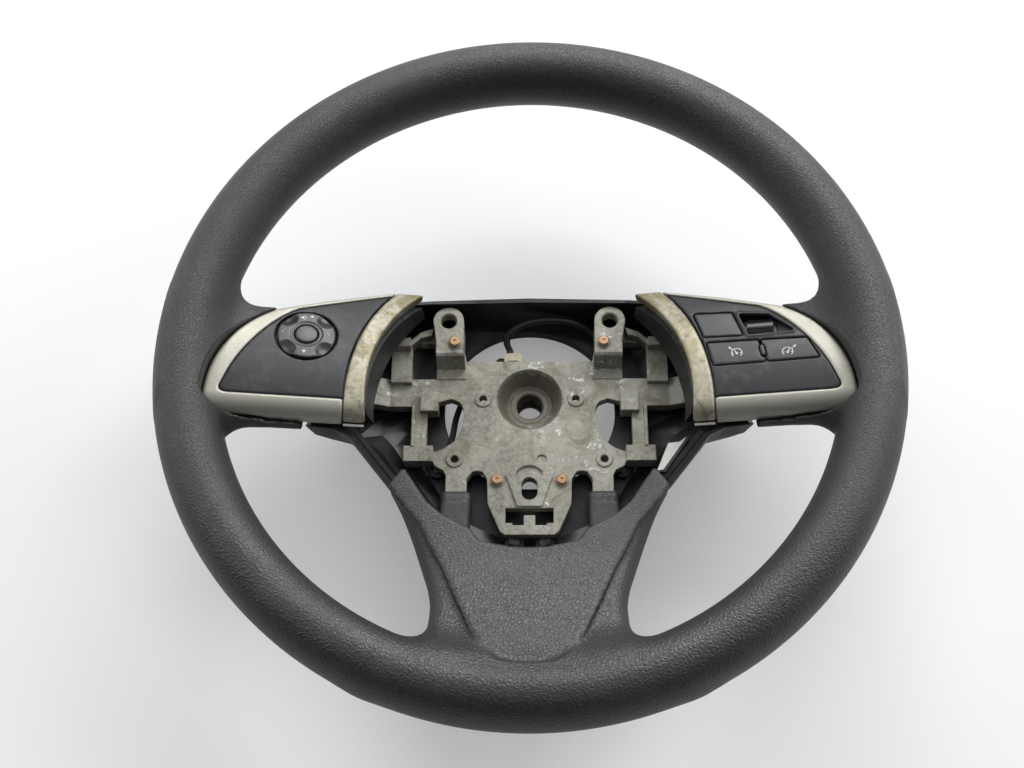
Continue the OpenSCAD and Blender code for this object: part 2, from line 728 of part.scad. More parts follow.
module right_housing() {
    pod(1) {
        housing() right_openings(1);
        color([0.13, 0.135, 0.14]) difference() {
            roller_cheeks();
            key_frame() translate([roller_at[0] - 20, roller_at[1], roller_at[2]]) rotate([0, 90, 0])
                cylinder(r = axle_r + pin_gap, h = 40, $fn = 32);
        }
    }
}

module left_board() { pod(-1) board() gimbal_posts(0.3); }
module right_board() { pod(1) board() roller_room(); }
module left_dome_mat() { pod(-1) dome_mat(left_domes) gimbal_posts(0.3); }
module right_dome_mat() { pod(1) dome_mat(right_domes) roller_room(); }

module left_panel() {
    pod(-1) difference() {
        panel();
        key_frame() left_openings(key_gap);
    }
}

module right_panel() {
    pod(1) difference() {
        panel();
        key_frame() right_openings(key_gap);
    }
}

module left_bezel() { pod(-1) bezel(); }
module right_bezel() { pod(1) bezel(); }
module left_band() { pod(-1) band(); }
module right_band() { pod(1) band(); }

// Cap whose top follows the crown, in the pod frame
module crowned(proud) {
    intersection() {
        key_frame() children();
        crown_solid(trim_gap - proud);
    }
}

module rocker_gimbal() {
    color([0.8, 0.8, 0.78]) pod(-1) key_frame() translate([ring_at[0], ring_at[1], pivot_z]) {
        difference() {
            translate([0, 0, -1.4]) cylinder(r = gimbal_out, h = 2.8, $fn = 64);
            translate([0, 0, -2]) cylinder(r = gimbal_in, h = 4, $fn = 64);
        }
        for (a = [0:90:270]) rotate([0, 90, a]) translate([0, 0, gimbal_in + 0.6])
            cylinder(r = pin_r, h = gimbal_out - gimbal_in - 0.6 + fit_gap + lug_t - 0.2, $fn = 32);
    }
}

module audio_ring() {
    color([0.12, 0.125, 0.13]) pod(-1) difference() {
        union() {
            crowned(0.7) translate([ring_at[0], ring_at[1], -3.4])
                cylinder(r = ring_r, h = 8, $fn = 96);
            // lugs that hang on the gimbal's other pins
            for (s = [1, -1]) let (y = ring_at[1] + s * (gimbal_out + fit_gap + lug_t / 2))
                key_box(ring_at[0] - 2, ring_at[0] + 2, y - lug_t / 2, y + lug_t / 2, pivot_z - lug_t, -2.6);
            // feet over the four domes
            key_frame() for (a = [0:90:270]) translate([ring_at[0], ring_at[1], 0]) rotate([0, 0, a])
                translate([14, -1, leg_end + 0.35]) cube([1.4, 2, -leg_end - 2.4]);
        }
        key_frame() translate([ring_at[0], ring_at[1], 0]) {
            translate([0, 0, -20]) cylinder(r = mode_r + 0.45, h = 40, $fn = 64);
            // finger scoops on the diagonals
            for (a = [45:90:315]) rotate([0, 0, a]) translate([ring_r - 1.2, 0, 12.4])
                sphere(r = 13, $fn = 64);
        }
        key_frame() translate([ring_at[0], ring_at[1] - 13.4, pivot_z]) rotate([-90, 0, 0])
            cylinder(r = pin_r + pin_gap, h = 26.8, $fn = 32);
    }
}

module mode_button() {
    color([0.13, 0.135, 0.14]) pod(-1) {
        crowned(1) translate([ring_at[0], ring_at[1], -2.6]) cylinder(r = mode_r, h = 6, $fn = 64);
        key_frame() translate([ring_at[0], ring_at[1], leg_end]) cylinder(r = 2.4, h = -leg_end - 2, $fn = 32);
    }
}

// Key with a crowned cap and a leg over its dome
module key(pts, dome) {
    color([0.2, 0.205, 0.225]) pod(1) {
        crowned(0.3) slab(-2.6, 6) offset(r = 0.6, $fn = 16) key_plan(pts, -0.6);
        key_box(dome[0] - 2, dome[0] + 2, dome[1] - 2, dome[1] + 2, leg_end, -2.2);
    }
}

module cancel_button() { key(cancel_pts, right_domes[0]); }
module cruise_button() { key(cruise_pts, right_domes[1]); }
module limiter_button() { key(limiter_pts, right_domes[2]); }

// Thumb roller with fine grooves along it
module set_roller() {
    color([0.08, 0.08, 0.085]) pod(1) key_frame() translate(roller_at) rotate([0, 90, 0]) {
        difference() {
            translate([0, 0, -roller_w / 2]) cylinder(r = roller_r, h = roller_w, $fn = 96);
            for (s = [1, -1]) translate([0, 0, s * (roller_w / 2 + 3)])
                cylinder(r = roller_r - 2, h = 8, center = true, $fn = 48);
            for (a = [-40, -20, 20, 40]) rotate([0, 0, 180 + a]) translate([roller_r, 0, -roller_w / 2 - 1])
                cylinder(r = 0.45, h = roller_w + 2, $fn = 16);
        }
        translate([0, 0, -roller_w / 2 - fit_gap - cheek_t + 0.2])
            cylinder(r = axle_r, h = roller_w + 2 * (fit_gap + cheek_t - 0.2), $fn = 32);
    }
}

// Rear cover

// Front edge and floor edge of the cover, right half, from twelve to six o'clock
cover_front = [[0, 54.8, 24.4], [30, 54.2, 24], [54, 53, 25], [66, 49.5, 30], [84, 44.5, dish - 36],
    [103, 39, dish - 29], [114.4, 33, dish - 27], [114.4, 14, dish - 46], [114.4, -12, dish - 46],
    [114.4, -30, dish - 24], [100, -31.5, dish - 25], [92, -35, dish - 26], [80, -49, dish - 31],
    [67, -63, dish - 38], [56, -76, dish - 43.5], [40, -90, dish - 48], [20, -97.5, dish - 48],
    [0, -99.5, dish - 48]];
cover_floor = [[0, 50.6], [26, 49.8], [44, 46.5], [54, 40], [60, 31], [64, 22], [66, 15], [67, 8],
    [67, -2], [66, -12], [64, -22], [61, -31], [57, -41], [51, -51], [43, -61], [32, -70], [17, -76.5],
    [0, -79]];

function cover_point(i, t, inward) = let (f = cover_front[i], b = cover_floor[i],
        q = [f[0] * 0.94 + b[0] * 0.06, f[1] * 0.94 + b[1] * 0.06, f[2] * 0.25 - floor_drop * 0.75],
        p = (1 - t) * (1 - t) * [f[0], f[1], f[2]] + 2 * t * (1 - t) * q + t * t * [b[0], b[1], -floor_drop],
        k = 1 - inward / norm([p[0], p[1]]))
    [p[0] * k, p[1] * k, p[2] + inward * t * t];

function cover_ring(t, inward) = concat(
    [for (i = [0:len(cover_front) - 1]) cover_point(i, t, inward)],
    [for (i = [len(cover_front) - 2:-1:1]) let (p = cover_point(i, t, inward)) [-p[0], p[1], p[2]]]);

module cover_shell() {
    steps = [0, 0.2, 0.4, 0.6, 0.8, 1];
    outer = [for (i = [len(steps) - 1:-1:0]) cover_ring(steps[i], 0)];
    inner = [for (t = steps) cover_ring(t, cover_wall)];
    skin(concat(outer, inner));
}

boss_at = [50, -38];

// Grooved rail between each pod and the lower spoke
module cover_rail() {
    a = [90.5, -35.5, dish - 24.5];
    d = [-21, -24.5, -9.5];
    translate(a) rotate([0, acos(d[2] / norm(d)), atan2(d[1], d[0])]) linear_extrude(norm(d))
        polygon([[6, 1.2], [-0.6, 1.2], [-0.6, -1.2], [1, -1.2], [1, -2.2], [-0.1, -2.2], [-0.1, -4.6],
                 [6, -4.6]]);
}

module rear_cover() {
    color([0.09, 0.095, 0.11]) difference() {
        union() {
            cover_shell();
            both() cover_rail();
            // bell-mouthed collar round the column opening; the wheel rests on it
            translate([0, 0, -floor_drop]) rotate_extrude($fn = 120)
                polygon([for (p = [[-1, 1], [-1, -2], [5.5, -collar_depth], [9, -collar_depth],
                                   [9, 2 - collar_depth], [2, -2], [2, 1]]) [column_open_r + p[0], p[1]]]);
            // screw bosses on the floor
            both() translate([boss_at[0], boss_at[1], -floor_drop + 1]) cylinder(r = 4, h = 6, $fn = 32);
            // ribs below the tongue
            for (x = [-12, -4, 4, 12]) along_x(x - 0.9, x + 0.9, [[-72, -3.4], [-81, -3.4], [-88, 1.2],
                [-94.2, 9], [-94.2, 10.5], [-84, 3.5], [-72, 3.5]]);
        }
        translate([0, 0, -floor_drop - collar_depth / 2]) cylinder(r = column_open_r, h = 20, $fn = 120);
        both() translate([boss_at[0], boss_at[1], -floor_drop - 2]) cylinder(r = 1.5, h = 12, $fn = 24);
        arm_sleeves(0.4);
        both() along_y(arm_y0 - 0.6, arm_y1 + 0.6, arm_outline(side_arm_top, 0.6));
    }
}

module screw(len, head_r = 3.4) {
    difference() {
        union() {
            cylinder(r = 1.5, h = len, $fn = 24);
            translate([0, 0, -2]) cylinder(r = head_r, h = 2, $fn = 32);
        }
        translate([0, 0, -2.5]) cylinder(r = 1.4, h = 1.6, $fn = 6);
    }
}

module cover_screws() {
    color([0.35, 0.35, 0.36]) both() translate([boss_at[0], boss_at[1], -floor_drop]) screw(8);
}

module pod_screws() {
    color([0.35, 0.35, 0.36]) for (side = [1, -1]) pod(side) key_frame() screw_places()
        translate([0, 0, tray_floor]) screw(3, 2.6);
}

// Wiring, held all along its route
function tube_frame(p, i) = let (n = len(p), d = p[min(i + 1, n - 1)] - p[max(i - 1, 0)], t = d / norm(d),
        u = cross(t, [0.1, 0.2, 1]), v = u / norm(u)) [v, cross(v, t)];

function spline(p, k) = concat([for (i = [0:len(p) - 2]) for (j = [0:k - 1]) let (
        t = j / k, a = p[max(i - 1, 0)], b = p[i], c = p[i + 1], d = p[min(i + 2, len(p) - 1)])
    0.5 * (2 * b + (c - a) * t + (2 * a - 5 * b + 4 * c - d) * t * t + (3 * b - a - 3 * c + d) * t * t * t)],
    [last(p)]);

module tube(route, r, sides = 8, k = 3) {
    p = spline(route, k);
    skin([for (i = [0:len(p) - 1]) let (f = tube_frame(p, i))
        [for (j = [0:sides - 1]) p[i] + r * (cos(360 * j / sides) * f[0] + sin(360 * j / sides) * f[1])]]);
}

loom_route = [[-11, 31, 1.9], [-11, 32.4, 1.9], [-11, 33.8, 1.9], [-12.6, 37, 3.8], [-12, 40.5, 6.5],
              [-8, 43.7, 9], [-1, 46.5, 10.5], [10, 48.3, 10.5], [22, 48, 9], [32, 45.5, 5], [38, 41, 1.5]];
branch_route = [[-14, 27.2, 1.4], [-15.3, 27.2, 1.4], [-16.6, 27.2, 1.4], [-22, 22.5, -0.6], [-31, 13, -1.6],
                [-37, 4, -1.6], [-40.5, -6, -1.6], [-42, -16, -1], [-44, -24, -0.6], [-49, -30, -0.6]];

module harness_loom() { color([0.06, 0.06, 0.065]) tube(loom_route, 1.9); }
module harness_branch() { color([0.06, 0.06, 0.065]) tube(branch_route, 1.7); }

module loom_connector() {
    color([0.76, 0.73, 0.6]) {
        translate([-14, 23.4, -0.4]) cube([10, 7.6, 4.6]);
        translate([-11.5, 26, 4]) cube([5, 2, 1.2]);
    }
}

armature();
rim_core();
hub_bush();
horn_contacts();
grip();
rear_cover();
cover_screws();
left_housing();
left_board();
left_dome_mat();
left_panel();
left_bezel();
left_band();
rocker_gimbal();
audio_ring();
mode_button();
right_housing();
right_board();
right_dome_mat();
right_panel();
right_bezel();
right_band();
cancel_button();
set_roller();
cruise_button();
limiter_button();
pod_screws();
harness_loom();
harness_branch();
loom_connector();
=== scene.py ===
import math

import bpy
import numpy as np
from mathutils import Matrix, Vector


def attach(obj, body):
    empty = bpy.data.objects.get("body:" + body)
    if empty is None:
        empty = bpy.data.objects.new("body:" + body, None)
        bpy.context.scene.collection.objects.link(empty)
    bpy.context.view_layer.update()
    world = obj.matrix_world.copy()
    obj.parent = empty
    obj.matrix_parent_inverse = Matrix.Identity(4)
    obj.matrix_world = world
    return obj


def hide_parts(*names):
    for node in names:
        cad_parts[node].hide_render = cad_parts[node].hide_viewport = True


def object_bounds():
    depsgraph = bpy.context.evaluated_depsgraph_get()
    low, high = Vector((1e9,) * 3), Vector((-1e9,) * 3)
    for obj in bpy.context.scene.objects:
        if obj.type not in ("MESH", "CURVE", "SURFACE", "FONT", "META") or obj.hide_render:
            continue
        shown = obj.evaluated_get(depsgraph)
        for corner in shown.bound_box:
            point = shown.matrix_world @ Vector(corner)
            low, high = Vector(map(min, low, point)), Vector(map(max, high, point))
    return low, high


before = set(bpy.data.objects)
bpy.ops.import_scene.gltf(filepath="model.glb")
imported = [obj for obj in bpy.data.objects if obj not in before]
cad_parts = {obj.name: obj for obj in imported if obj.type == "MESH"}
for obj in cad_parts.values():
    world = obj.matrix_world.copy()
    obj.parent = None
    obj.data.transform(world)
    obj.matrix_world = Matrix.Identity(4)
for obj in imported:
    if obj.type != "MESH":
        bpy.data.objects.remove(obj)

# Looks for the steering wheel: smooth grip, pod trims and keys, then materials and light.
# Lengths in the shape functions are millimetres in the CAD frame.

LO0, HI0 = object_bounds()

# Rim: height and radius of the circle in the tube's middle, radii of the tube's section
DISH = 70.0
RIM_C = 172.0
TUBE_R, TUBE_UP, TUBE_DOWN = 16.0, 19.0, 18.5
# Pods: origin and slope of their frame, radius and ridge of the crown, section of the strip
POD_O = np.array([114.6, 0.0, 65.15])
SLOPE = math.radians(9.65)
CROWN_R = 156.0
RIDGE = -22.0
STRIP_A, STRIP_H = 10.4, 12.0
# Plane that touches the crown in the middle of the keys
KEY_Y = 15.0
KEY_TILT = math.asin((KEY_Y - RIDGE) / CROWN_R)
KEY_Z = -(CROWN_R - CROWN_R * math.cos(KEY_TILT))


# Shape functions: negative inside, near to real distances outside

def smax(a, b, k):
    """Larger of two values, rounded over a width of k."""
    h = np.clip(0.5 + 0.5 * (a - b) / k, 0, 1)
    return b + (a - b) * h + k * h * (1 - h)


def smin(a, b, k):
    """Smaller of two values, rounded over a width of k."""
    return -smax(-a, -b, k)


def sd_poly(x, y, pts):
    """Distance to the outline of a polygon, negative inside."""
    pts = np.asarray(pts, float)
    best = None
    inside = None
    n = len(pts)
    for i in range(n):
        ax, ay = pts[i]
        bx, by = pts[(i + 1) % n]
        ex, ey = bx - ax, by - ay
        wx, wy = x - ax, y - ay
        t = np.clip((wx * ex + wy * ey) / (ex * ex + ey * ey), 0, 1)
        d2 = (wx - ex * t) ** 2 + (wy - ey * t) ** 2
        best = d2 if best is None else np.minimum(best, d2)
        up = (y >= ay) & (y < by) & (ex * wy - ey * wx > 0)
        down = (y < ay) & (y >= by) & (ex * wy - ey * wx < 0)
        cross = up ^ down
        inside = cross if inside is None else inside ^ cross
    return np.where(inside, -np.sqrt(best), np.sqrt(best))


def arc(c, r, a0, a1, n):
    """Points of an arc between two angles in degrees."""
    return [(c[0] + r * math.cos(math.radians(a0 + (a1 - a0) * i / n)),
             c[1] + r * math.sin(math.radians(a0 + (a1 - a0) * i / n))) for i in range(n + 1)]


def bez(p, n):
    """Points of a cubic curve with four control points."""
    p = [np.array(q, float) for q in p]
    out = []
    for i in range(n + 1):
        t = i / n
        u = 1 - t
        out.append(tuple(u ** 3 * p[0] + 3 * u * u * t * p[1]
                         + 3 * u * t * t * p[2] + t ** 3 * p[3]))
    return out


# Step of the slopes that the meshing takes of a shape function
PROBE = 0.02


def nets(f, xs, ys, zs, steps=4):
    """Closed mesh of the surface f = 0 on a grid, its points moved onto the surface."""
    xs, ys, zs = (np.asarray(a, float) for a in (xs, ys, zs))
    D = np.array(np.broadcast_to(f(xs[:, None, None], ys[None, :, None], zs[None, None, :]),
                                 (len(xs), len(ys), len(zs))), np.float32)
    D[D == 0] = 1e-6
    S = D < 0
    S[0] = S[-1] = S[:, 0] = S[:, -1] = S[:, :, 0] = S[:, :, -1] = False
    D = np.where(S, -np.abs(D), np.abs(D))
    corners = [(i, j, k) for i in (0, 1) for j in (0, 1) for k in (0, 1)]
    cubes = [S[i:len(xs) - 1 + i, j:len(ys) - 1 + j, k:len(zs) - 1 + k] for i, j, k in corners]
    any_in = np.logical_or.reduce(cubes)
    all_in = np.logical_and.reduce(cubes)
    cell = any_in & ~all_in
    I, J, K = np.nonzero(cell)
    index = np.full(cell.shape, -1, np.int64)
    index[I, J, K] = np.arange(len(I))
    total = np.zeros((len(I), 3))
    count = np.zeros(len(I))
    for a in corners:
        for ax in range(3):
            if a[ax] == 1:
                continue
            b = list(a)
            b[ax] = 1
            da = D[I + a[0], J + a[1], K + a[2]]
            db = D[I + b[0], J + b[1], K + b[2]]
            m = (da < 0) != (db < 0)
            t = np.where(m, da / np.where(m, da - db, 1), 0)
            pa = np.stack([xs[I + a[0]], ys[J + a[1]], zs[K + a[2]]], 1)
            pb = np.stack([xs[I + b[0]], ys[J + b[1]], zs[K + b[2]]], 1)
            total += np.where(m[:, None], pa + (pb - pa) * t[:, None], 0)
            count += m
    P = total / np.maximum(count, 1)[:, None]
    quads = []
    for ax in range(3):
        A = [slice(None)] * 3
        B = [slice(None)] * 3
        A[ax], B[ax] = slice(0, -1), slice(1, None)
        ch = S[tuple(A)] != S[tuple(B)]
        o1, o2 = [d for d in range(3) if d != ax]
        e = np.stack(np.nonzero(ch), 1)
        keep = (e[:, o1] > 0) & (e[:, o2] > 0)
        keep &= (e[:, o1] < D.shape[o1] - 1) & (e[:, o2] < D.shape[o2] - 1)
        e = e[keep]
        inside_first = S[e[:, 0], e[:, 1], e[:, 2]]
        ring = []
        for d1, d2 in ((0, 0), (-1, 0), (-1, -1), (0, -1)):
            q = e.copy()
            q[:, o1] += d1
            q[:, o2] += d2
            ring.append(index[q[:, 0], q[:, 1], q[:, 2]])
        q = np.stack(ring, 1)
        flip = inside_first if ax != 1 else ~inside_first
        q[~flip] = q[~flip][:, ::-1]
        quads.append(q)
    Q = np.concatenate(quads)
    gx, gy, gz = np.gradient(xs), np.gradient(ys), np.gradient(zs)
    room = np.stack([gx[I], gy[J], gz[K]], 1).min(1) * 0.75
    home = P.copy()
    for _ in range(steps):
        v = f(P[:, 0], P[:, 1], P[:, 2])
        g = []
        for i in range(3):
            a, b = ([P[:, j] + way * PROBE * (i == j) for j in range(3)] for way in (1, -1))
            g.append((f(*a) - f(*b)) / (2 * PROBE))
        g = np.stack(g, 1)
        P = P - (v / np.maximum((g * g).sum(1), 0.05))[:, None] * g
        d = P - home
        n = np.linalg.norm(d, axis=1)
        P = home + d * np.minimum(1, room / np.maximum(n, 1e-9))[:, None]
    return P, Q


def mesh_object(name, P, Q, body, mat):
    """Smooth mesh that rides on a body, its points in millimetres in the CAD frame."""
    me = bpy.data.meshes.new(name)
    me.vertices.add(len(P))
    me.vertices.foreach_set("co", (np.asarray(P) / 1000).astype(np.float32).ravel())
    me.loops.add(Q.size)
    me.loops.foreach_set("vertex_index", Q.astype(np.int32).ravel())
    me.polygons.add(len(Q))
    me.polygons.foreach_set("loop_start", (np.arange(len(Q)) * Q.shape[1]).astype(np.int32))
    me.polygons.foreach_set("loop_total", np.full(len(Q), Q.shape[1], np.int32))
    me.polygons.foreach_set("use_smooth", np.full(len(Q), True))
    me.update(calc_edges=True)
    me.validate()
    o = bpy.data.objects.new(name, me)
    bpy.context.scene.collection.objects.link(o)
    me.materials.append(mat)
    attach(o, body)
    return o


# Switch pods: their own frame, x out along the slope, y to twelve o'clock

def pod_to_row(P, side):
    """Points from the frame of the right (1) or left (-1) pod to the CAD frame."""
    x, y, z = P[:, 0], P[:, 1], P[:, 2]
    c, s = math.cos(SLOPE), math.sin(SLOPE)
    X = POD_O[0] + c * x - s * z
    Z = POD_O[2] + s * x + c * z
    return np.stack([side * X, y, Z], 1)


def key_to_pod(kx, ky, kz):
    c, s = math.cos(KEY_TILT), math.sin(KEY_TILT)
    return kx, KEY_Y + c * ky + s * kz, KEY_Z - s * ky + c * kz


def pod_to_key(x, y, z):
    c, s = math.cos(KEY_TILT), math.sin(KEY_TILT)
    y, z = y - KEY_Y, z - KEY_Z
    return x, c * y - s * z, s * y + c * z


def crown_d(y, z):
    """Distance to the crown of the pods, negative below it."""
    top = np.hypot(y - RIDGE, z + CROWN_R) - CROWN_R
    k0 = np.hypot((y - RIDGE) / STRIP_A, (z + STRIP_H) / STRIP_H)
    k1 = np.hypot((y - RIDGE) / STRIP_A ** 2, (z + STRIP_H) / STRIP_H ** 2)
    roll = k0 * (k0 - 1) / np.maximum(k1, 1e-6)
    front = -(y - RIDGE + STRIP_A)
    low = np.where(z < -STRIP_H, front, roll)
    return np.where(y >= RIDGE, top, low)


# Circles of the seam between the two trims and of the band's hub side, outer end of the pod
SEAM_C, SEAM_R = (-138.0, -22.0), 116.5
BAND_C, BAND_R = (-124.0, -17.0), 91.7
TIP = 48.0
STRIP_Y = RIDGE - STRIP_A
OUTER = ([(10, STRIP_Y - 0.2), (28, STRIP_Y + 0.4)]
         + bez([(38, -31), (44, -30), (TIP, -27.5), (TIP, -22)], 8)
         + arc((TIP - 63.5, -24), 63.5, 8, 62, 16) + [(-12, 40.7)])
PANEL_EDGE = ([(20, RIDGE + 0.3)]
              + bez([(TIP - 13, RIDGE + 0.3), (TIP - 9, RIDGE + 0.3),
                     (TIP - 7, -20.5), (TIP - 7.8, -17.8)], 6)
              + bez([(TIP - 11, -9), (32, 4), (18, 25), (4, 32.8)], 12) + [(-22, 40.7)])
BEZEL_PTS = arc(SEAM_C, SEAM_R, 38.5, -5.2, 24) + OUTER
BEZEL_OPEN = [(-66, 55.8), (-66, STRIP_Y)] + OUTER
PANEL_PTS = arc(SEAM_C, SEAM_R, 36.6, 0.2, 24) + PANEL_EDGE
PANEL_OPEN = [(-72, 55.9), (-72, RIDGE + 0.3)] + PANEL_EDGE

# Ring and key plans in the plane of the keys
RING_AT = (-0.8, 0.2)
RING_R, MODE_R = 15.1, 6.0
CANCEL = [(-30.4, 16.4), (-10.2, 15.3), (-5.2, -1.6), (-25.6, -0.7)]
WINDOW = [(-8.2, 14.6), (9, 12.2), (22.6, -1.7), (-3.2, -2.2)]
CRUISE = [(-24.4, -4.5), (2, -5.1), (5, -18.8), (-21.4, -18.9)]
LIMITER = [(2.9, -5.1), (26.4, -5.8), (31.8, -18.6), (5.9, -18.8)]


def strip_low(x):
    """Height of the strip's lower edge in the pod frame."""
    return np.interp(x, [-22, 1, 21, 36, 48], [-9.7, -9.6, -7.2, -6.0, -5.0])


# Wall of the trims, their depths below the crown, and their lower cut in front of FRONT_Y
TRIM_WALL, BEZEL_DEPTH, BAND_DEPTH = 2.2, 9, 7
FRONT_Y, BAND_LOW = -18, -7.6


def f_bezel(x, y, z):
    edge = sd_poly(x, y, BEZEL_PTS)
    top = crown_d(y, z)
    d = smax(edge + 0.05, top, 1.6)
    inner = np.maximum(sd_poly(x, y, BEZEL_OPEN), top) + TRIM_WALL
    d = np.maximum(d, -inner)
    d = smax(d, -(sd_poly(x, y, PANEL_OPEN)), 0.7)
    d = np.maximum(d, -(top + BEZEL_DEPTH))
    return smax(d, np.minimum(strip_low(x) - z, FRONT_Y - y), 0.5)


def f_band_lip(x, y, z):
    """Thin bright lip across the lower end of the band."""
    box = np.maximum(np.abs(x + 27.6) - 5.2, np.abs(y + 32.7) - 0.7)
    return smax(box, np.abs(z + 8.0) - 0.42, 0.2)


def f_band(x, y, z):
    seam = np.hypot(x - SEAM_C[0], y - SEAM_C[1]) - SEAM_R + 0.35
    hub = BAND_R - np.hypot(x - BAND_C[0], y - BAND_C[1])
    ends = np.maximum(y - 50.4, STRIP_Y - y)
    plan = smax(smax(seam, hub, 0.8), ends, 1.2)
    top = crown_d(y, z)
    d = smax(plan, top, 1.5)
    inner = np.maximum(np.maximum(seam - 4, hub + 1.6), top + TRIM_WALL)
    d = np.maximum(d, -inner)
    d = np.maximum(d, -(top + BAND_DEPTH))
    return smax(d, np.minimum(BAND_LOW - z, FRONT_Y - y), 0.5)


# How far the faces lie below the crown of the trims, the gaps around the ring and the keys
SUNK, RING_GAP, KEY_GAP = 0.25, 1.0, 0.35


def f_panel(x, y, z, holes):
    edge = sd_poly(x, y, PANEL_PTS) + 0.3
    top = crown_d(y, z) + SUNK
    d = smax(smax(edge, top, 0.8), -(top + TRIM_WALL), 0.3)
    kx, ky, _ = pod_to_key(x, y, z)
    if len(holes) > 1:
        rim = np.abs(key_plan(WINDOW, 1.5)(kx, ky) + 0.1) - 0.85
        d = smin(d, smax(smax(rim, top - 0.45, 0.6), -(top + 1.5), 0.3), 0.35)
    for h in holes:
        d = smax(d, -h(kx, ky), 0.4)
    return d


def f_ring_hole(kx, ky):
    return np.hypot(kx - RING_AT[0], ky - RING_AT[1]) - RING_R - RING_GAP


def inset(pts, d):
    """Polygon moved inwards by d, for convex outlines."""
    pts = [np.array(p, float) for p in pts]
    n = len(pts)
    area = sum(pts[i][0] * pts[(i + 1) % n][1] - pts[(i + 1) % n][0] * pts[i][1] for i in range(n))
    s = 1 if area > 0 else -1
    out = []
    for i in range(n):
        a, b, c = pts[i - 1], pts[i], pts[(i + 1) % n]
        u = (b - a) / np.linalg.norm(b - a)
        v = (c - b) / np.linalg.norm(c - b)
        nu, nv = s * np.array([-u[1], u[0]]), s * np.array([-v[1], v[0]])
        m = np.linalg.solve(np.array([nu, nv]), [nu @ a + d, nv @ b + d])
        out.append(tuple(m))
    return out


def key_plan(pts, r):
    core = inset(pts, r)
    return lambda kx, ky: sd_poly(kx, ky, core) - r


# Oval nib between the two lower keys: middle, turn, half of its straight part, end radius
NIB = (3.7, -12.0)
NIB_TURN, NIB_HALF, NIB_R = 0.16, 2.2, 1.25


def nib_plan(kx, ky):
    """Outline of the nib, seen from above."""
    c, s = math.cos(NIB_TURN), math.sin(NIB_TURN)
    u = c * (kx - NIB[0]) + s * (ky - NIB[1])
    v = c * (ky - NIB[1]) - s * (kx - NIB[0])
    return np.hypot(u, np.maximum(np.abs(v) - NIB_HALF, 0)) - NIB_R


def f_nib(x, y, z):
    kx, ky, kz = pod_to_key(x, y, z)
    return smax(smax(nib_plan(kx, ky), crown_d(y, z) - 0.35, 1.0), -(kz + 2.6), 0.3)


def f_shelf(x, y, z):
    """Sloped floor of the roller window on its outer side."""
    kx, ky, kz = pod_to_key(x, y, z)
    top = kz + 0.9 + 0.28 * (21.5 - kx)
    d = np.maximum(key_plan(WINDOW, 1.5)(kx, ky) + 0.3, 11.9 - kx)
    return np.maximum(np.maximum(d, top), -top - 1.2)


def f_key(pts):
    """Shape of a key cap with the given plan, cut away round the nib."""
    plan = key_plan(pts, 1.0)

    def f(x, y, z):
        kx, ky, kz = pod_to_key(x, y, z)
        edge = plan(kx, ky) + 0.05
        top = crown_d(y, z) + SUNK
        d = smax(smax(edge, top, 1.1), -(kz + 2.6), 0.3)
        return smax(d, KEY_GAP - nib_plan(kx, ky), 0.3)
    return f


# Finger scoops of the ring: distance of their middles, height and radius
SCOOP_AT, SCOOP_Z, SCOOP_R = 15.0, 9.0, 10.5


def f_ring(x, y, z):
    kx, ky, kz = pod_to_key(x, y, z)
    rx, ry = kx - RING_AT[0], ky - RING_AT[1]
    r = np.hypot(rx, ry)
    dome = kz - 0.62 + 0.0035 * r * r
    d = smax(smax(r - RING_R, dome, 0.9), -(kz + 3.2), 0.4)
    for a in (45, 135, 225, 315):
        cx, cy = SCOOP_AT * math.cos(math.radians(a)), SCOOP_AT * math.sin(math.radians(a))
        ball = np.sqrt((rx - cx) ** 2 + (ry - cy) ** 2 + (kz - SCOOP_Z) ** 2) - SCOOP_R
        d = smax(d, -ball, 0.35)
    groove = np.hypot(r - (MODE_R + 1.5), kz - 1.2) - 1.2
    d = smax(d, -groove, 0.5)
    return smax(d, MODE_R + 0.4 - r, 0.5)


def f_mode(x, y, z):
    kx, ky, kz = pod_to_key(x, y, z)
    r = np.hypot(kx - RING_AT[0], ky - RING_AT[1])
    return smax(smax(r - MODE_R, kz - 0.95 + 0.012 * r * r, 1.0), -(kz + 2.6), 0.3)


# Plain symbols, thin prints that lie on the faces

def seg(u, v, a, b, r):
    """Round-ended stroke from a to b."""
    ax, ay = a
    ex, ey = b[0] - ax, b[1] - ay
    t = np.clip(((u - ax) * ex + (v - ay) * ey) / (ex * ex + ey * ey), 0, 1)
    return np.hypot(u - ax - ex * t, v - ay - ey * t) - r


def speaker(u, v):
    horn = sd_poly(u, v, [(-1.5, -0.5), (-0.7, -0.5), (0.4, -1.4),
                          (0.4, 1.4), (-0.7, 0.5), (-1.5, 0.5)])
    wave = np.abs(np.hypot(u + 0.4, v) - 1.8) - 0.17
    return np.minimum(horn, np.maximum(wave, np.abs(v) - 1.9 * (u + 0.4)))


def triangle(r):
    return lambda u, v: sd_poly(u, v, [(-r, -0.6 * r), (r, -0.6 * r), (0, r)])


def chevron(u, v):
    return np.minimum(seg(u, v, (0.6, 1.3), (-0.6, 0), 0.2), seg(u, v, (-0.6, 0), (0.6, -1.3), 0.2))


def gauge(u, v):
    dial = np.maximum(np.abs(np.hypot(u, v) - 2.6) - 0.27, -1.9 - v)
    hand = seg(u, v, (0, -0.3), (-1.0, 1.5), 0.32)
    hub = np.hypot(u, v + 0.4) - 0.7
    ticks = np.minimum(seg(u, v, (-2.3, -0.2), (-1.6, -0.1), 0.24),
                       seg(u, v, (2.3, -0.2), (1.6, -0.1), 0.24))
    return np.minimum(np.minimum(dial, hand), np.minimum(hub, ticks))


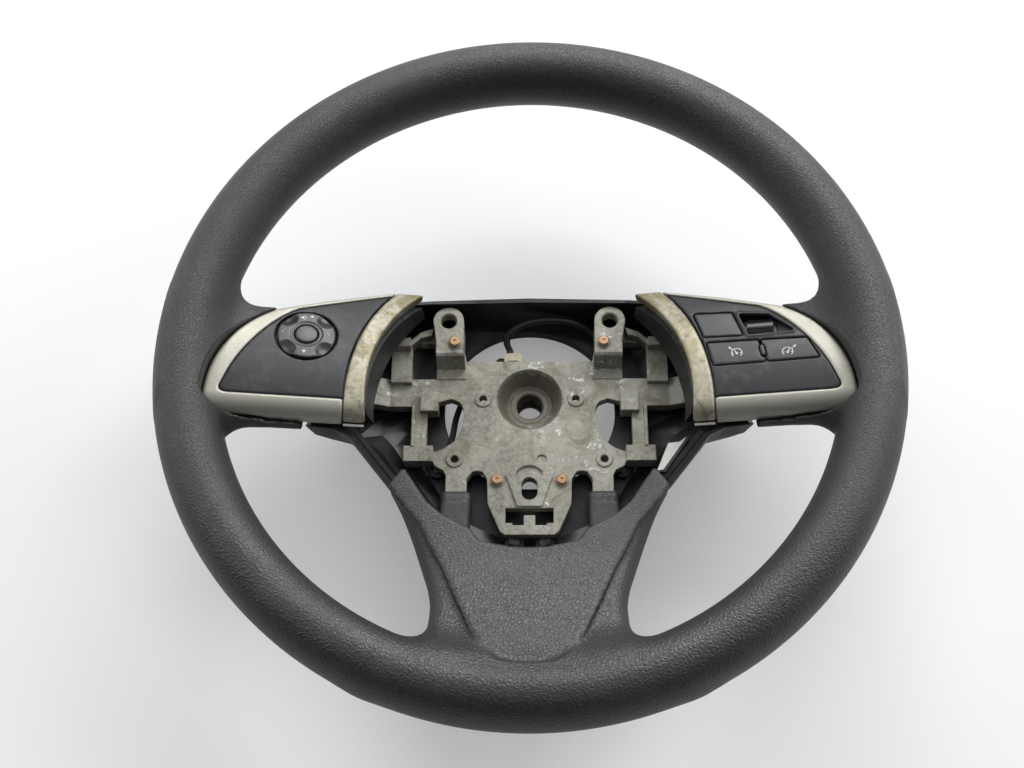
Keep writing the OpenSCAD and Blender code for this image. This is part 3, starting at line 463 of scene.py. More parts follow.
def arrow(u, v):
    head = sd_poly(u, v, [(-1.3, 1.3), (0.5, 0.7), (-0.7, -0.5)])
    return np.minimum(head, seg(u, v, (-0.3, 0.3), (1.1, -1.1), 0.25))


# How far prints stand over a face and reach into it
PRINT_PROUD, PRINT_DEEP = 0.06, 0.25


def on_face(face, at, shape, turn=0.0, flip=1):
    """Print of a flat symbol on a face, a little proud of it."""
    c, s = math.cos(math.radians(turn)), math.sin(math.radians(turn))

    def f(x, y, z):
        kx, ky, _ = pod_to_key(x, y, z)
        u, v = (kx - at[0]) * flip, ky - at[1]
        d = face(x, y, z)
        ink = np.maximum(d - PRINT_PROUD, -PRINT_DEEP - d)
        return np.maximum(shape(c * u + s * v, c * v - s * u), ink)
    return f


# Grip

# Lower spoke by the distance below the middle: half width, crease, front and back heights
SPOKE_W = np.array([(54, 75), (64.3, 69.9), (70.4, 66.6), (77.2, 63.1), (87.2, 59.0), (98.3, 55.0),
                    (108.4, 51.6), (118.3, 48.5), (127.6, 47.1), (135.5, 47.4), (150, 50),
                    (165, 53)], float)
SPOKE_C = np.array([(50, 80.5), (64.3, 69.9), (70.4, 66.4), (77.2, 60.7), (85.3, 53.8),
                    (93.4, 49.5), (100.2, 46.4), (107, 42.5), (115.5, 38.8), (125.8, 34.4),
                    (133, 31), (140.5, 27.7), (147, 24.2), (152, 20.4), (156, 16),
                    (157.8, 12.5), (158.8, 7), (159.3, 0)], float)
SPOKE_F = np.array([(54, 52), (75, 53), (98, 57), (115, 62.5), (135, 70.5), (148, 76), (156, 78),
                    (165, 76)], float)
SPOKE_B = np.array([(54, 34), (75, 28), (90, 23), (98, 23), (120, 32), (140, 43), (165, 56)], float)
# Drop from the panel to the flanks beside it
FLANK_DROP = np.array([(54, 2.4), (90, 2.6), (112, 4.6), (165, 5.5)], float)


def through(pts):
    """Polyline with a smooth midpoint added on each side, as a curve through all points."""
    out = [pts[0]]
    for i in range(1, len(pts)):
        a, b = pts[i - 1], pts[i]
        c, d = pts[max(i - 2, 0)], pts[min(i + 1, len(pts) - 1)]
        out.append(tuple((9 * (a[k] + b[k]) - c[k] - d[k]) / 16 for k in (0, 1)))
        out.append(b)
    return out


CREASE = through([(c, -d) for d, c in SPOKE_C] + [(-c, -d) for d, c in SPOKE_C[::-1][1:]])
# Edge of the spoke towards the open hub
WELL = [(0, -98), (10, -97.3), (22.6, -94.6), (24.2, -93.8), (28, -88.2), (36, -83.5),
        (43.5, -79.1), (49.9, -73.5), (56.5, -63.7), (62.6, -54.7), (69.9, -64.3), (95, -64.3),
        (95, -20)]
WELL = WELL + [(-x, y) for x, y in WELL[::-1][:-1]]


def smooth_table(t, v):
    """Values of a table smoothed with a monotone cubic."""
    x, y = t[:, 0], t[:, 1]
    h = np.diff(x)
    s = np.diff(y) / h
    m = np.zeros(len(x))
    for i in range(1, len(x) - 1):
        m[i] = 0 if s[i - 1] * s[i] <= 0 else 2 * s[i - 1] * s[i] / (s[i - 1] + s[i])
    m[0], m[-1] = s[0], s[-1]
    v = np.clip(v, x[0], x[-1])
    k = np.clip(np.searchsorted(x, v, side="right") - 1, 0, len(x) - 2)
    u = (v - x[k]) / h[k]
    a, b = y[k], y[k + 1]
    return ((2 * u ** 3 - 3 * u ** 2 + 1) * a + (u ** 3 - 2 * u ** 2 + u) * h[k] * m[k]
            + (-2 * u ** 3 + 3 * u ** 2) * b + (u ** 3 - u ** 2) * h[k] * m[k + 1])


def f_rim(x, y, z):
    q = np.hypot(x, y) - RIM_C
    v = z - DISH
    hz = np.where(v > 0, TUBE_UP, TUBE_DOWN)
    k0 = np.hypot(q / TUBE_R, v / hz)
    k1 = np.hypot(q / TUBE_R ** 2, v / hz ** 2)
    return k0 * (k0 - 1) / np.maximum(k1, 1e-6)


# Edge radii of the lower spoke towards its windows
EDGE_FRONT, EDGE_BACK = 7, 14


def f_spoke(x, y, z):
    d = -y
    w = smooth_table(SPOKE_W, d)
    f = smooth_table(SPOKE_F, d)
    b = smooth_table(SPOKE_B, d)
    ax = np.abs(x)
    s = f - (f - b) * 0.55
    drop = np.interp(d, FLANK_DROP[:, 0], FLANK_DROP[:, 1])
    top = f - drop - 0.10 * np.clip(ax - 40, 0, 30)

    def quarter(r, v, height):
        u = np.maximum(ax - (w - r), 0) / r
        return (np.sqrt(u * u + np.maximum(v, 0) ** 2 + 1e-9) - 1) * np.minimum(r, height)

    up = quarter(EDGE_FRONT, (z - s) / (top - s), top - s)
    down = quarter(EDGE_BACK, (s - z) / (s - b), s - b)
    body = np.where(z > s, up, down)
    return smax(body, np.maximum(d - 163, 52 - d), 4.0)


# Roots of the side spokes: inner end, upper side, lowest height along them
ROOT_IN, ROOT_HIGH = 115, 33.0
ROOT_LOW = np.array([(115, 49.5), (130, 52.5), (145, 54), (158, 55), (172, 57)], float)


def f_root(x, y, z):
    ax = np.abs(x)
    lo = -35.4 - 0.02 * (ax - 130)
    cr = POD_O[2] + (ax - POD_O[0]) * math.tan(SLOPE)
    yy = y - RIDGE
    crown = CROWN_R - np.sqrt(np.maximum(CROWN_R ** 2 - yy * yy, 1))
    drop = np.where(yy >= 0, crown, 0.055 * yy * yy)
    top = cr - drop + 0.35
    bot = np.interp(ax, ROOT_LOW[:, 0], ROOT_LOW[:, 1])
    side = smax(lo - y, y - ROOT_HIGH, 1.0)
    d = smax(side, z - top, 3.0)
    d = smax(d, bot - z, 6.0)
    return np.maximum(d, np.maximum(ROOT_IN - ax, ax - RIM_C))


# Tray of a recess in the plane of the keys: middle, half sizes and depth
TRAY_X, TRAY_HALF, TRAY_DEPTH = -6, (29, 24), 20.1


def f_recess(x, y, z):
    """Room that the grip leaves for a pod: its outline, the tray below and a step in front."""
    ax = np.abs(x)
    c, s = math.cos(SLOPE), math.sin(SLOPE)
    px = c * (ax - POD_O[0]) + s * (z - POD_O[2])
    pz = -s * (ax - POD_O[0]) + c * (z - POD_O[2])
    kx, ky, kz = pod_to_key(px, y, pz)
    tray = np.maximum(np.abs(kx - TRAY_X) - TRAY_HALF[0], np.abs(ky) - TRAY_HALF[1])
    tray = np.maximum(tray, -kz - TRAY_DEPTH)
    floor = np.interp(y, [-26, -22], [10.6, 24]) - np.where(px < 24, 0, 8.4) * (y > -22)
    deep = np.minimum(-pz - floor, np.maximum(tray, -24 - y))
    return np.maximum(sd_poly(px, y, OUTER + [(-60, 55), (-60, STRIP_Y - 0.2)]) - 0.45, deep)


# Sleeves on the two cast arms: middle and half width; value far away from any shape
SLEEVE_X, SLEEVE_HALF, FAR = 38.95, 7.9, 200.0


def f_grip(x, y, z):
    rim = f_rim(x, y, z)
    d = smin(rim, f_root(x, y, z), 15.0)
    ax = np.abs(x)
    near = y < -40
    sp = np.where(near, f_spoke(x, np.where(near, y, -60), z), FAR)
    d = smin(d, sp, 16.0)
    f = smooth_table(SPOKE_F, -y)
    crease = sd_poly(x, y, CREASE)
    panel = smax(smax(crease, z - f, 1.7), f - 11 - z, 1.0)
    d = smin(d, np.where(y < -45, panel, FAR), 0.9)
    cut = smax(crease, f - z, np.interp(-y, [125, 150], [2.0, 4.5]))
    d = smax(d, -cut, 0.8)
    d = smax(d, -sd_poly(x, y, WELL), 0.8)
    top = np.interp(-y, [44, 60, 98, 130], [10.5, 10.5, 37, 52])
    sleeve = smax(np.abs(ax - SLEEVE_X) - SLEEVE_HALF, z - top - 2.4, 1.2)
    sleeve = smax(sleeve, top - 9.4 - z, 1.2)
    sleeve = smax(sleeve, np.maximum(53.5 + y, -y - 104), 0.8)
    d = np.minimum(d, np.where(near, sleeve, FAR))
    return smax(d, -f_recess(x, y, z), 0.8)


def line_grid(spans):
    """Grid lines from (end, step) pairs after the first value."""
    out = [spans[0]]
    for end, step in spans[1:]:
        n = max(1, round((end - out[-1]) / step))
        out += list(out[-1] + (end - out[-1]) * (i + 1) / n for i in range(n))
    return out


# Materials

class Maker:
    """Small helper that adds nodes and links to a new material."""

    def __init__(self, name):
        self.m = bpy.data.materials.new(name)
        self.m.use_nodes = True
        self.nt = self.m.node_tree
        self.nt.nodes.clear()
        self.out = self.n("ShaderNodeOutputMaterial")
        self.b = self.n("ShaderNodeBsdfPrincipled")
        self.put(self.out.inputs[0], self.b.outputs[0])
        self.co = self.n("ShaderNodeTexCoord").outputs["Object"]

    def n(self, kind, **k):
        node = self.nt.nodes.new(kind)
        for a, v in k.items():
            setattr(node, a, v)
        return node

    def put(self, sock, v):
        if isinstance(v, bpy.types.NodeSocket):
            self.nt.links.new(v, sock)
        else:
            sock.default_value = v

    def noise(self, scale, detail=4.0, rough=0.55, dist=0.0):
        t = self.n("ShaderNodeTexNoise")
        self.put(t.inputs["Vector"], self.co)
        self.put(t.inputs["Scale"], scale)
        self.put(t.inputs["Detail"], detail)
        self.put(t.inputs["Roughness"], rough)
        self.put(t.inputs["Distortion"], dist)
        return t.outputs["Fac"]

    def voronoi(self, scale, feature="F1", co=None):
        t = self.n("ShaderNodeTexVoronoi", feature=feature)
        self.put(t.inputs["Vector"], co or self.co)
        self.put(t.inputs["Scale"], scale)
        return t.outputs["Distance"]

    def math(self, op, a, b=0.0):
        t = self.n("ShaderNodeMath", operation=op)
        self.put(t.inputs[0], a)
        self.put(t.inputs[1], b)
        return t.outputs[0]

    def mul(self, a, b):
        return self.math("MULTIPLY", a, b)

    def add(self, a, b):
        return self.math("ADD", a, b)

    def from_axis(self, x, y):
        """Distance from the steering axis."""
        return self.math("SQRT", self.add(self.mul(x, x), self.mul(y, y)))

    def remap(self, v, a, b, c=0.0, d=1.0):
        t = self.n("ShaderNodeMapRange")
        t.clamp = True
        self.put(t.inputs["Value"], v)
        for k, q in zip(("From Min", "From Max", "To Min", "To Max"), (a, b, c, d)):
            self.put(t.inputs[k], q)
        return t.outputs["Result"]

    def mix(self, fac, a, b):
        t = self.n("ShaderNodeMix", data_type="RGBA")
        self.put(t.inputs["Factor"], fac)
        for sock, v in ((t.inputs[6], a), (t.inputs[7], b)):
            self.put(sock, v if isinstance(v, bpy.types.NodeSocket) else (*v, 1.0))
        return t.outputs[2]

    def xyz(self):
        t = self.n("ShaderNodeSeparateXYZ")
        self.put(t.inputs[0], self.co)
        return t.outputs

    def normal_z(self):
        g = self.n("ShaderNodeNewGeometry")
        t = self.n("ShaderNodeSeparateXYZ")
        self.put(t.inputs[0], g.outputs["Normal"])
        return t.outputs[2]

    def warp(self, scale, amount):
        """Coordinates moved about by noise."""
        t = self.n("ShaderNodeTexNoise")
        self.put(t.inputs["Vector"], self.co)
        self.put(t.inputs["Scale"], scale)
        self.put(t.inputs["Detail"], 3.0)
        s = self.n("ShaderNodeVectorMath", operation="SCALE")
        self.put(s.inputs[0], t.outputs["Color"])
        self.put(s.inputs["Scale"], amount)
        a = self.n("ShaderNodeVectorMath", operation="ADD")
        self.put(a.inputs[0], self.co)
        self.put(a.inputs[1], s.outputs[0])
        return a.outputs[0]

    def bump(self, height, distance, strength=1.0, base=None):
        t = self.n("ShaderNodeBump")
        self.put(t.inputs["Height"], height)
        self.put(t.inputs["Distance"], distance)
        self.put(t.inputs["Strength"], strength)
        if base is not None:
            self.put(t.inputs["Normal"], base)
        return t.outputs[0]

    def finish(self, color, rough, metal=0.0, normal=None, spec=0.5):
        self.put(self.b.inputs["Base Color"], color)
        self.put(self.b.inputs["Roughness"], rough)
        self.put(self.b.inputs["Metallic"], metal)
        self.put(self.b.inputs["Specular IOR Level"], spec)
        if normal is not None:
            self.put(self.b.inputs["Normal"], normal)
        return self.m


def mat_grip():
    k = Maker("grip_leather_grain")
    x, y, _ = k.xyz()
    r = k.from_axis(x, y)
    w = k.warp(260.0, 0.0022)
    cells = k.voronoi(520.0, "DISTANCE_TO_EDGE", w)
    big = k.remap(cells, 0.0, 0.32)
    w2 = k.warp(500.0, 0.0012)
    small = k.remap(k.voronoi(1250.0, "DISTANCE_TO_EDGE", w2), 0.0, 0.35)
    wear = k.remap(k.noise(14.0, 3.0), 0.35, 0.65)
    lower = k.remap(y, -0.02, -0.12)
    coarse = k.math("MAXIMUM", k.mul(k.remap(r, 0.128, 0.15), 0.4), lower)
    rest = k.math("SUBTRACT", 1.0, k.mul(coarse, 0.7))
    grain = k.add(k.mul(big, coarse), k.mul(small, rest))
    fine = k.noise(2600.0, 2.0)
    b1 = k.bump(grain, 0.00020, 0.8)
    b2 = k.bump(fine, 0.00004, 0.5, b1)
    tone = k.noise(9.0, 3.0)
    col = k.mix(k.remap(tone, 0.3, 0.7), (0.0150, 0.0168, 0.0168), (0.0205, 0.0225, 0.0225))
    col = k.mix(k.mul(k.remap(grain, 0.0, 0.5), 0.4), col, (0.030, 0.032, 0.032))
    dust = k.mul(k.remap(k.noise(60.0, 5.0), 0.5, 0.75), k.remap(k.normal_z(), 0.3, 1.0))
    col = k.mix(k.mul(dust, 0.16), col, (0.10, 0.10, 0.098))
    rough = k.add(k.remap(wear, 0.0, 1.0, 0.38, 0.48), k.mul(grain, -0.06))
    return k.finish(col, rough, 0.0, b2, 0.62)


def mat_satin(name, dark, light, rough, spec=0.5, dust=0.1):
    k = Maker(name)
    col = k.mix(k.remap(k.noise(30.0, 4.0), 0.3, 0.7), dark, light)
    up = k.remap(k.normal_z(), 0.2, 1.0)
    d = k.mul(k.remap(k.noise(140.0, 6.0, 0.65), 0.52, 0.72), up)
    col = k.mix(k.mul(d, dust), col, (0.3, 0.29, 0.27))
    r = k.remap(k.noise(45.0, 4.0), 0.3, 0.7, rough - 0.05, rough + 0.07)
    n = k.bump(k.noise(1500.0, 3.0), 0.00003, 0.8)
    return k.finish(col, r, 0.0, n, spec)


def mat_silver(name, base, stain=0.0):
    k = Maker(name)
    fine = k.noise(900.0, 4.0)
    dark, light = tuple(c * 0.93 for c in base), tuple(c * 1.05 for c in base)
    col = k.mix(k.remap(fine, 0.3, 0.7), dark, light)
    blot = k.noise(55.0, 6.0, 0.7, dist=0.6)
    if stain:
        high = k.remap(k.xyz()[1], -0.02, 0.02)
        patch = k.mul(k.remap(blot, 0.42, 0.56), k.add(0.25, k.mul(high, 0.75)))
        col = k.mix(k.mul(patch, 0.75 * stain), col, (0.17, 0.145, 0.055))
        brown = k.remap(k.noise(110.0, 7.0, 0.75, dist=1.2), 0.50, 0.62)
        col = k.mix(k.mul(brown, 0.55 * stain), col, (0.07, 0.052, 0.03))
        specks = k.remap(k.voronoi(420.0), 0.16, 0.05)
        gate = k.remap(k.noise(70.0, 3.0), 0.5, 0.58)
        col = k.mix(k.mul(specks, k.mul(gate, stain)), col, (0.03, 0.022, 0.014))
    else:
        col = k.mix(k.mul(k.remap(blot, 0.52, 0.72), 0.25), col, (0.30, 0.285, 0.24))
    r = k.remap(k.noise(70.0, 4.0), 0.3, 0.7, 0.44, 0.54)
    n = k.bump(fine, 0.00002, 0.6)
    if stain:
        n = k.bump(k.noise(160.0, 6.0, 0.7), 0.00012, 0.7, n)
    return k.finish(col, r, 0.4 if stain else 0.55, n)


def mat_cast():
    k = Maker("cast_magnesium")
    x, y, z = k.xyz()
    tone = k.noise(26.0, 6.0, 0.65)
    fine = k.noise(420.0, 6.0, 0.7)
    col = k.mix(k.remap(tone, 0.34, 0.66), (0.115, 0.11, 0.085), (0.36, 0.35, 0.295))
    col = k.mix(k.remap(fine, 0.35, 0.65, 0.0, 0.5), col, (0.47, 0.455, 0.39))
    brown = k.remap(k.noise(48.0, 7.0, 0.7, dist=1.0), 0.52, 0.66)
    col = k.mix(k.mul(brown, 0.6), col, (0.12, 0.098, 0.058))
    # Darker brown at the foot of the hub cone by the bush: grime in that corner, and painted shade
    # where the cone meets the bush.
    cone_foot_grime_and_shade = k.mul(k.remap(k.from_axis(x, y), 0.0185, 0.0165), k.remap(z, 0.0105, 0.008))
    col = k.mix(k.mul(cone_foot_grime_and_shade, 0.75), col, (0.10, 0.088, 0.062))
    salt = k.remap(k.noise(210.0, 8.0, 0.75, dist=0.8), 0.55, 0.62)
    strip = k.mul(k.remap(x, 0.016, 0.026), k.remap(x, 0.062, 0.04))
    zone = k.math("MAXIMUM", strip, k.remap(k.noise(33.0, 4.0), 0.54, 0.62))
    col = k.mix(k.mul(salt, k.mul(zone, 0.9)), col, (0.74, 0.74, 0.71))
    pits = k.remap(k.voronoi(330.0), 0.2, 0.08)
    col = k.mix(k.mul(pits, 0.35), col, (0.09, 0.08, 0.06))
    h = k.add(k.mul(fine, 0.6), k.mul(k.noise(1300.0, 3.0), 0.4))
    soft = k.n("ShaderNodeBevel", samples=4)
    k.put(soft.inputs["Radius"], 0.0009)
    n = k.bump(h, 0.00026, 0.9, soft.outputs[0])
    n = k.bump(salt, 0.0002, 0.6, n)
    r = k.remap(fine, 0.3, 0.7, 0.48, 0.68)
    return k.finish(col, r, 0.35, n)


def mat_metal(name, base, rough):
    k = Maker(name)
    f = k.noise(600.0, 5.0, 0.6)
    col = k.mix(k.remap(f, 0.3, 0.7), tuple(c * 0.8 for c in base), base)
    dirt = k.mul(k.remap(k.noise(230.0, 6.0, 0.7), 0.5, 0.66), 0.4)
    col = k.mix(dirt, col, tuple(c * 0.35 for c in base))
    r = k.remap(f, 0.3, 0.7, rough - 0.06, rough + 0.1)
    return k.finish(col, r, 0.85, k.bump(f, 0.00004, 0.6))


def mat_cover():
    k = Maker("cover_black")
    tone = k.remap(k.noise(40.0, 4.0), 0.3, 0.7)
    col = k.mix(tone, (0.0035, 0.0038, 0.0050), (0.0075, 0.0078, 0.0095))
    up = k.remap(k.normal_z(), 0.1, 0.95)
    dust = k.mul(k.remap(k.noise(75.0, 7.0, 0.72), 0.45, 0.72), up)
    col = k.mix(k.mul(dust, 0.13), col, (0.16, 0.155, 0.15))
    gate = k.remap(k.noise(90.0, 3.0), 0.5, 0.6)
    specks = k.mul(k.remap(k.voronoi(520.0), 0.10, 0.03), gate)
    col = k.mix(k.mul(specks, 0.5), col, (0.35, 0.34, 0.32))
    r = k.remap(k.noise(60.0, 5.0), 0.3, 0.7, 0.28, 0.48)
    return k.finish(col, r, 0.0, k.bump(k.noise(1100.0, 3.0), 0.00003, 0.7))


def mat_plain(name, base, rough):
    k = Maker(name)
    f = k.noise(300.0, 5.0)
    col = k.mix(k.remap(f, 0.3, 0.7), tuple(c * 0.85 for c in base), base)
    r = k.remap(f, 0.3, 0.7, rough - 0.04, rough + 0.06)
    return k.finish(col, r, 0.0, k.bump(f, 0.00003, 0.6))


M_GRIP = mat_grip()
M_PANEL = mat_satin("panel_blue_grey", (0.0125, 0.0130, 0.0165), (0.017, 0.0175, 0.0215), 0.40,
                    spec=0.38)
M_KEY = mat_satin("key_blue_grey", (0.0135, 0.0140, 0.0170), (0.018, 0.0185, 0.022), 0.36,
                  spec=0.40)
M_RING = mat_satin("ring_black", (0.012, 0.013, 0.015), (0.018, 0.019, 0.021), 0.32)
M_HOUSING = mat_satin("housing_grey", (0.014, 0.015, 0.017), (0.022, 0.023, 0.025), 0.45,
                      dust=0.25)
M_BEZEL = mat_silver("bezel_satin_silver", (0.40, 0.388, 0.335))
M_BAND = mat_silver("band_stained_silver", (0.38, 0.355, 0.28), 1.0)
M_CAST = mat_cast()
M_BUSH = mat_metal("bush_steel", (0.17, 0.155, 0.13), 0.52)
M_COPPER = mat_metal("copper_stud", (0.50, 0.31, 0.18), 0.40)
M_SCREW = mat_metal("screw_dark", (0.20, 0.20, 0.21), 0.4)
M_COVER = mat_cover()
M_ROLLER = mat_satin("roller_gloss", (0.005, 0.005, 0.006), (0.008, 0.008, 0.009), 0.22,
                     spec=0.35)
M_WIRE = mat_plain("wire_sleeve", (0.012, 0.012, 0.013), 0.45)
M_BEIGE = mat_plain("connector_beige", (0.55, 0.50, 0.36), 0.45)
M_BOARD = mat_plain("board_green", (0.02, 0.10, 0.045), 0.3)
M_SILICONE = mat_plain("silicone", (0.45, 0.45, 0.42), 0.5)
M_ACETAL = mat_plain("acetal", (0.6, 0.6, 0.57), 0.4)
M_WHITE = mat_plain("symbol_white", (0.58, 0.59, 0.59), 0.5)
M_LABEL = mat_plain("label_white", (0.56, 0.56, 0.52), 0.5)
M_DIM = mat_plain("symbol_dim", (0.36, 0.36, 0.365), 0.5)

CAD_MATS = {
    "armature": M_CAST, "rim_core": M_CAST, "hub_bush": M_BUSH, "horn_contacts": M_COPPER,
    "grip": M_GRIP, "rear_cover": M_COVER, "cover_screws": M_SCREW, "pod_screws": M_SCREW,
    "harness_loom": M_WIRE, "harness_branch": M_WIRE, "loom_connector": M_BEIGE,
    "rocker_gimbal": M_ACETAL, "set_roller": M_ROLLER, "audio_ring": M_RING,
    "mode_button": M_RING, "cancel_button": M_KEY, "cruise_button": M_KEY,
    "limiter_button": M_KEY,
}
for side in ("left", "right"):
    CAD_MATS[side + "_housing"] = M_HOUSING
    CAD_MATS[side + "_board"] = M_BOARD
    CAD_MATS[side + "_dome_mat"] = M_SILICONE
    CAD_MATS[side + "_panel"] = M_PANEL
    CAD_MATS[side + "_bezel"] = M_BEZEL
    CAD_MATS[side + "_band"] = M_BAND
for name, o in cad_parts.items():
    o.data.materials.clear()
    o.data.materials.append(CAD_MATS[name])

wide, fine, small, print_step = ((1.0, 0.75, 0.4, 0.16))
gx = line_grid([-190, (-166, 2.4 * wide), (-112, 1.15 * wide), (112, 2.0 * wide),
                (166, 1.15 * wide), (190, 2.4 * wide)])
gy = line_grid([-190, (-158, 2.2 * wide), (-50, 1.7 * wide), (52, 1.15 * wide),
                (190, 2.4 * wide)])
gz = line_grid([-3, (24, 2.6 * wide), (92, 1.5 * wide)])
P, Q = nets(f_grip, gx, gy, gz)
GRIP = mesh_object("grip_skin", P, Q, "wheel", M_GRIP)
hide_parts("grip")


def pod_piece(name, f, box, step, side, body, mat, node):
    """Smooth piece that replaces a CAD node, meshed in the frame of its pod."""
    xs, ys, zs = (np.arange(box[i][0], box[i][1] + step, step) for i in range(3))
    P, Q = nets(f, xs, ys, zs)
    o = mesh_object(name, pod_to_row(P, side), Q[:, ::side], body, mat)
    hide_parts(node)


# Boxes round the pieces in the pod frame
POD_BOX = [(-64, 50), (-35, 53), (-24, 2.5)]
BAND_BOX = [(-66, -18), (-35, 53), (-24, 2.5)]
FACE_BOX = [(-48, 44), (-24, 49), (-20, 2)]
RING_BOX = [(-19, 18), (-4, 34), (-16, 4)]
MODE_BOX = [(-9, 8), (6, 24), (-12, 4)]
holes_l = [f_ring_hole]
holes_r = [lambda a, b, q=key_plan(p, 1.2): q(a, b) - KEY_GAP for p in (CANCEL, CRUISE, LIMITER)]
holes_r.append(lambda a, b, q=key_plan(WINDOW, 1.5): q(a, b) + 0.9)
for side, tag, holes in ((-1, "left", holes_l), (1, "right", holes_r)):
    pod_piece(tag + "_bezel_trim", f_bezel, POD_BOX, fine, side, "wheel", M_BEZEL, tag + "_bezel")
    pod_piece(tag + "_band_trim", f_band, BAND_BOX, fine, side, "wheel", M_BAND, tag + "_band")
    pod_piece(tag + "_face", lambda x, y, z, h=holes: f_panel(x, y, z, h), FACE_BOX,
              fine, side, "wheel", M_PANEL, tag + "_panel")
pod_piece("audio_ring_cap", f_ring, RING_BOX, small * 1.1, -1, "audio_ring", M_RING, "audio_ring")
pod_piece("mode_button_cap", f_mode, MODE_BOX, small, -1, "mode_button", M_RING, "mode_button")
KEYS = ((CANCEL, "cancel_button"), (CRUISE, "cruise_button"), (LIMITER, "limiter_button"))
for pts, node in KEYS:
    q = np.array([key_to_pod(p[0], p[1], 0.0) for p in pts])
    box = list(zip(q.min(0) - (2, 2, 5), q.max(0) + (2, 2, 3)))
    pod_piece(node + "_cap", f_key(pts), box, small * 1.2, 1, node, M_KEY, node)

# Name, face, place, shape, turn, mirror, pod, body and material of each print
PRINTS = [
    ("print_speaker", f_ring, (1.3, 11.3), speaker, 0.0, -1, -1, "audio_ring", M_WHITE),
    ("print_up", f_ring, (-3.0, 12.4), triangle(1.25), 0.0, -1, -1, "audio_ring", M_WHITE),
    ("print_down", f_ring, (-0.2, -11.2), triangle(1.25), 180.0, -1, -1, "audio_ring", M_WHITE),
    ("print_outer", f_ring, (11.2, 1.2), chevron, 0.0, -1, -1, "audio_ring", M_DIM),
    ("print_inner", f_ring, (-12.2, 0.8), chevron, 0.0, 1, -1, "audio_ring", M_DIM),
    ("print_cruise", f_key(CRUISE), (-9.2, -12.4), gauge, 0.0, 1, 1, "cruise_button", M_WHITE),
    ("print_cruise_mark", f_key(CRUISE), (-12.1, -9.5), arrow, 0.0, 1, 1, "cruise_button", M_WHITE),
    ("print_limiter", f_key(LIMITER), (16.0, -14.0), gauge, 0.0, -1, 1, "limiter_button", M_WHITE),
    ("print_limiter_mark", f_key(LIMITER), (19.3, -11.3),
     arrow, 0.0, -1, 1, "limiter_button", M_WHITE),
]


# Half width of the box round a print, its ends below and above the plane of the keys
PRINT_HALF, PRINT_LOW, PRINT_HIGH = 2.8, -1.6, 1.2


def face_piece(name, f, at, half, low, high, step, side, body, mat):
    """Small piece meshed in a box round a point of the plane of the keys."""
    q = np.array([key_to_pod(at[0] + a * half, at[1] + b * half, c)
                  for a in (-1, 1) for b in (-1, 1) for c in (low, high)])
    xs, ys, zs = (np.arange(q[:, i].min() - step, q[:, i].max() + 2 * step, step) for i in range(3))
    P, Q = nets(f, xs, ys, zs)
    mesh_object(name, pod_to_row(P, side), Q[:, ::side], body, mat)


for name, face, at, shape, turn, flip, side, body, mat in PRINTS:
    face_piece(name, on_face(face, at, shape, turn, flip), at, PRINT_HALF, PRINT_LOW, PRINT_HIGH,
               print_step, side, body, mat)
face_piece("key_nib", f_nib, NIB, 4.4, -3.0, 1.6, small, 1, "wheel", M_KEY)
face_piece("roller_shelf", f_shelf, (16.5, 5.0), 8.5, -7.5, 0.5, small, 1, "wheel", M_PANEL)


def prism(name, pts, z0, z1, body, mat):
    """Flat piece with straight sides, its corners given anticlockwise."""
    n = len(pts)
    me = bpy.data.meshes.new(name)
    co = [(x / 1000, y / 1000, z / 1000) for z in (z0, z1) for x, y in pts]
    faces = [tuple(range(n - 1, -1, -1)), tuple(range(n, 2 * n))]
    faces += [(i, (i + 1) % n, n + (i + 1) % n, n + i) for i in range(n)]
    me.from_pydata(co, [], faces)
    o = bpy.data.objects.new(name, me)
    bpy.context.scene.collection.objects.link(o)
    me.materials.append(mat)
    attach(o, body)


LIP_BOX = [(-34, -21), (-34.5, -31), (-9.2, -6.8)]
for side, tag in ((-1, "left"), (1, "right")):
    spans = (np.arange(a, b, small * 0.8) for a, b in LIP_BOX)
    P, Q = nets(f_band_lip, *spans)
    mesh_object(tag + "_band_lip", pod_to_row(P, side), Q[:, ::side], "wheel", M_BEZEL)

# Flange inside the right rail with the blank label on it
FLANGE = [(64.4, -53.6), (69.2, -53.6), (83.0, -33.6), (76.6, -37.1), (70.8, -37.8)]
LABEL = [(64.9, -53.1), (68.0, -52.6), (80.6, -34.8), (76.8, -37.6), (71.1, -38.3)]
prism("rail_flange", FLANGE, 38.4, 40.7, "wheel", M_COVER)
prism("blank_label", LABEL, 40.6, 41.0, "wheel", M_LABEL)

# Housings with the belly of their front drawn up, as the photograph shows it: height where it
# starts, share that is drawn up, y where that begins and the length over which it grows
HOUSING_SHELF, BELLY = -10.0, 0.5
BELLY_Y, BELLY_LENGTH = -8, 14
for side, tag in ((-1, "left"), (1, "right")):
    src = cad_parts[tag + "_housing"]
    me = src.data.copy()
    me.transform(src.matrix_world)
    co = np.empty(len(me.vertices) * 3, np.float32)
    me.vertices.foreach_get("co", co)
    P = co.reshape(-1, 3).astype(float) * 1000
    c, s = math.cos(SLOPE), math.sin(SLOPE)
    ax, az = side * P[:, 0] - POD_O[0], P[:, 2] - POD_O[2]
    px, pz = c * ax + s * az, -s * ax + c * az
    w = np.clip((BELLY_Y - P[:, 1]) / BELLY_LENGTH, 0, 1)
    drawn = HOUSING_SHELF + (pz - HOUSING_SHELF) * (1 - BELLY * w)
    pz = np.where(pz < HOUSING_SHELF, drawn, pz)
    P = pod_to_row(np.stack([px, P[:, 1], pz], 1), side)
    me.vertices.foreach_set("co", (P / 1000).astype(np.float32).ravel())
    me.update()
    o = bpy.data.objects.new(tag + "_housing_shell", me)
    bpy.context.scene.collection.objects.link(o)
    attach(o, "wheel")
    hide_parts(tag + "_housing")

# Floor, light and camera

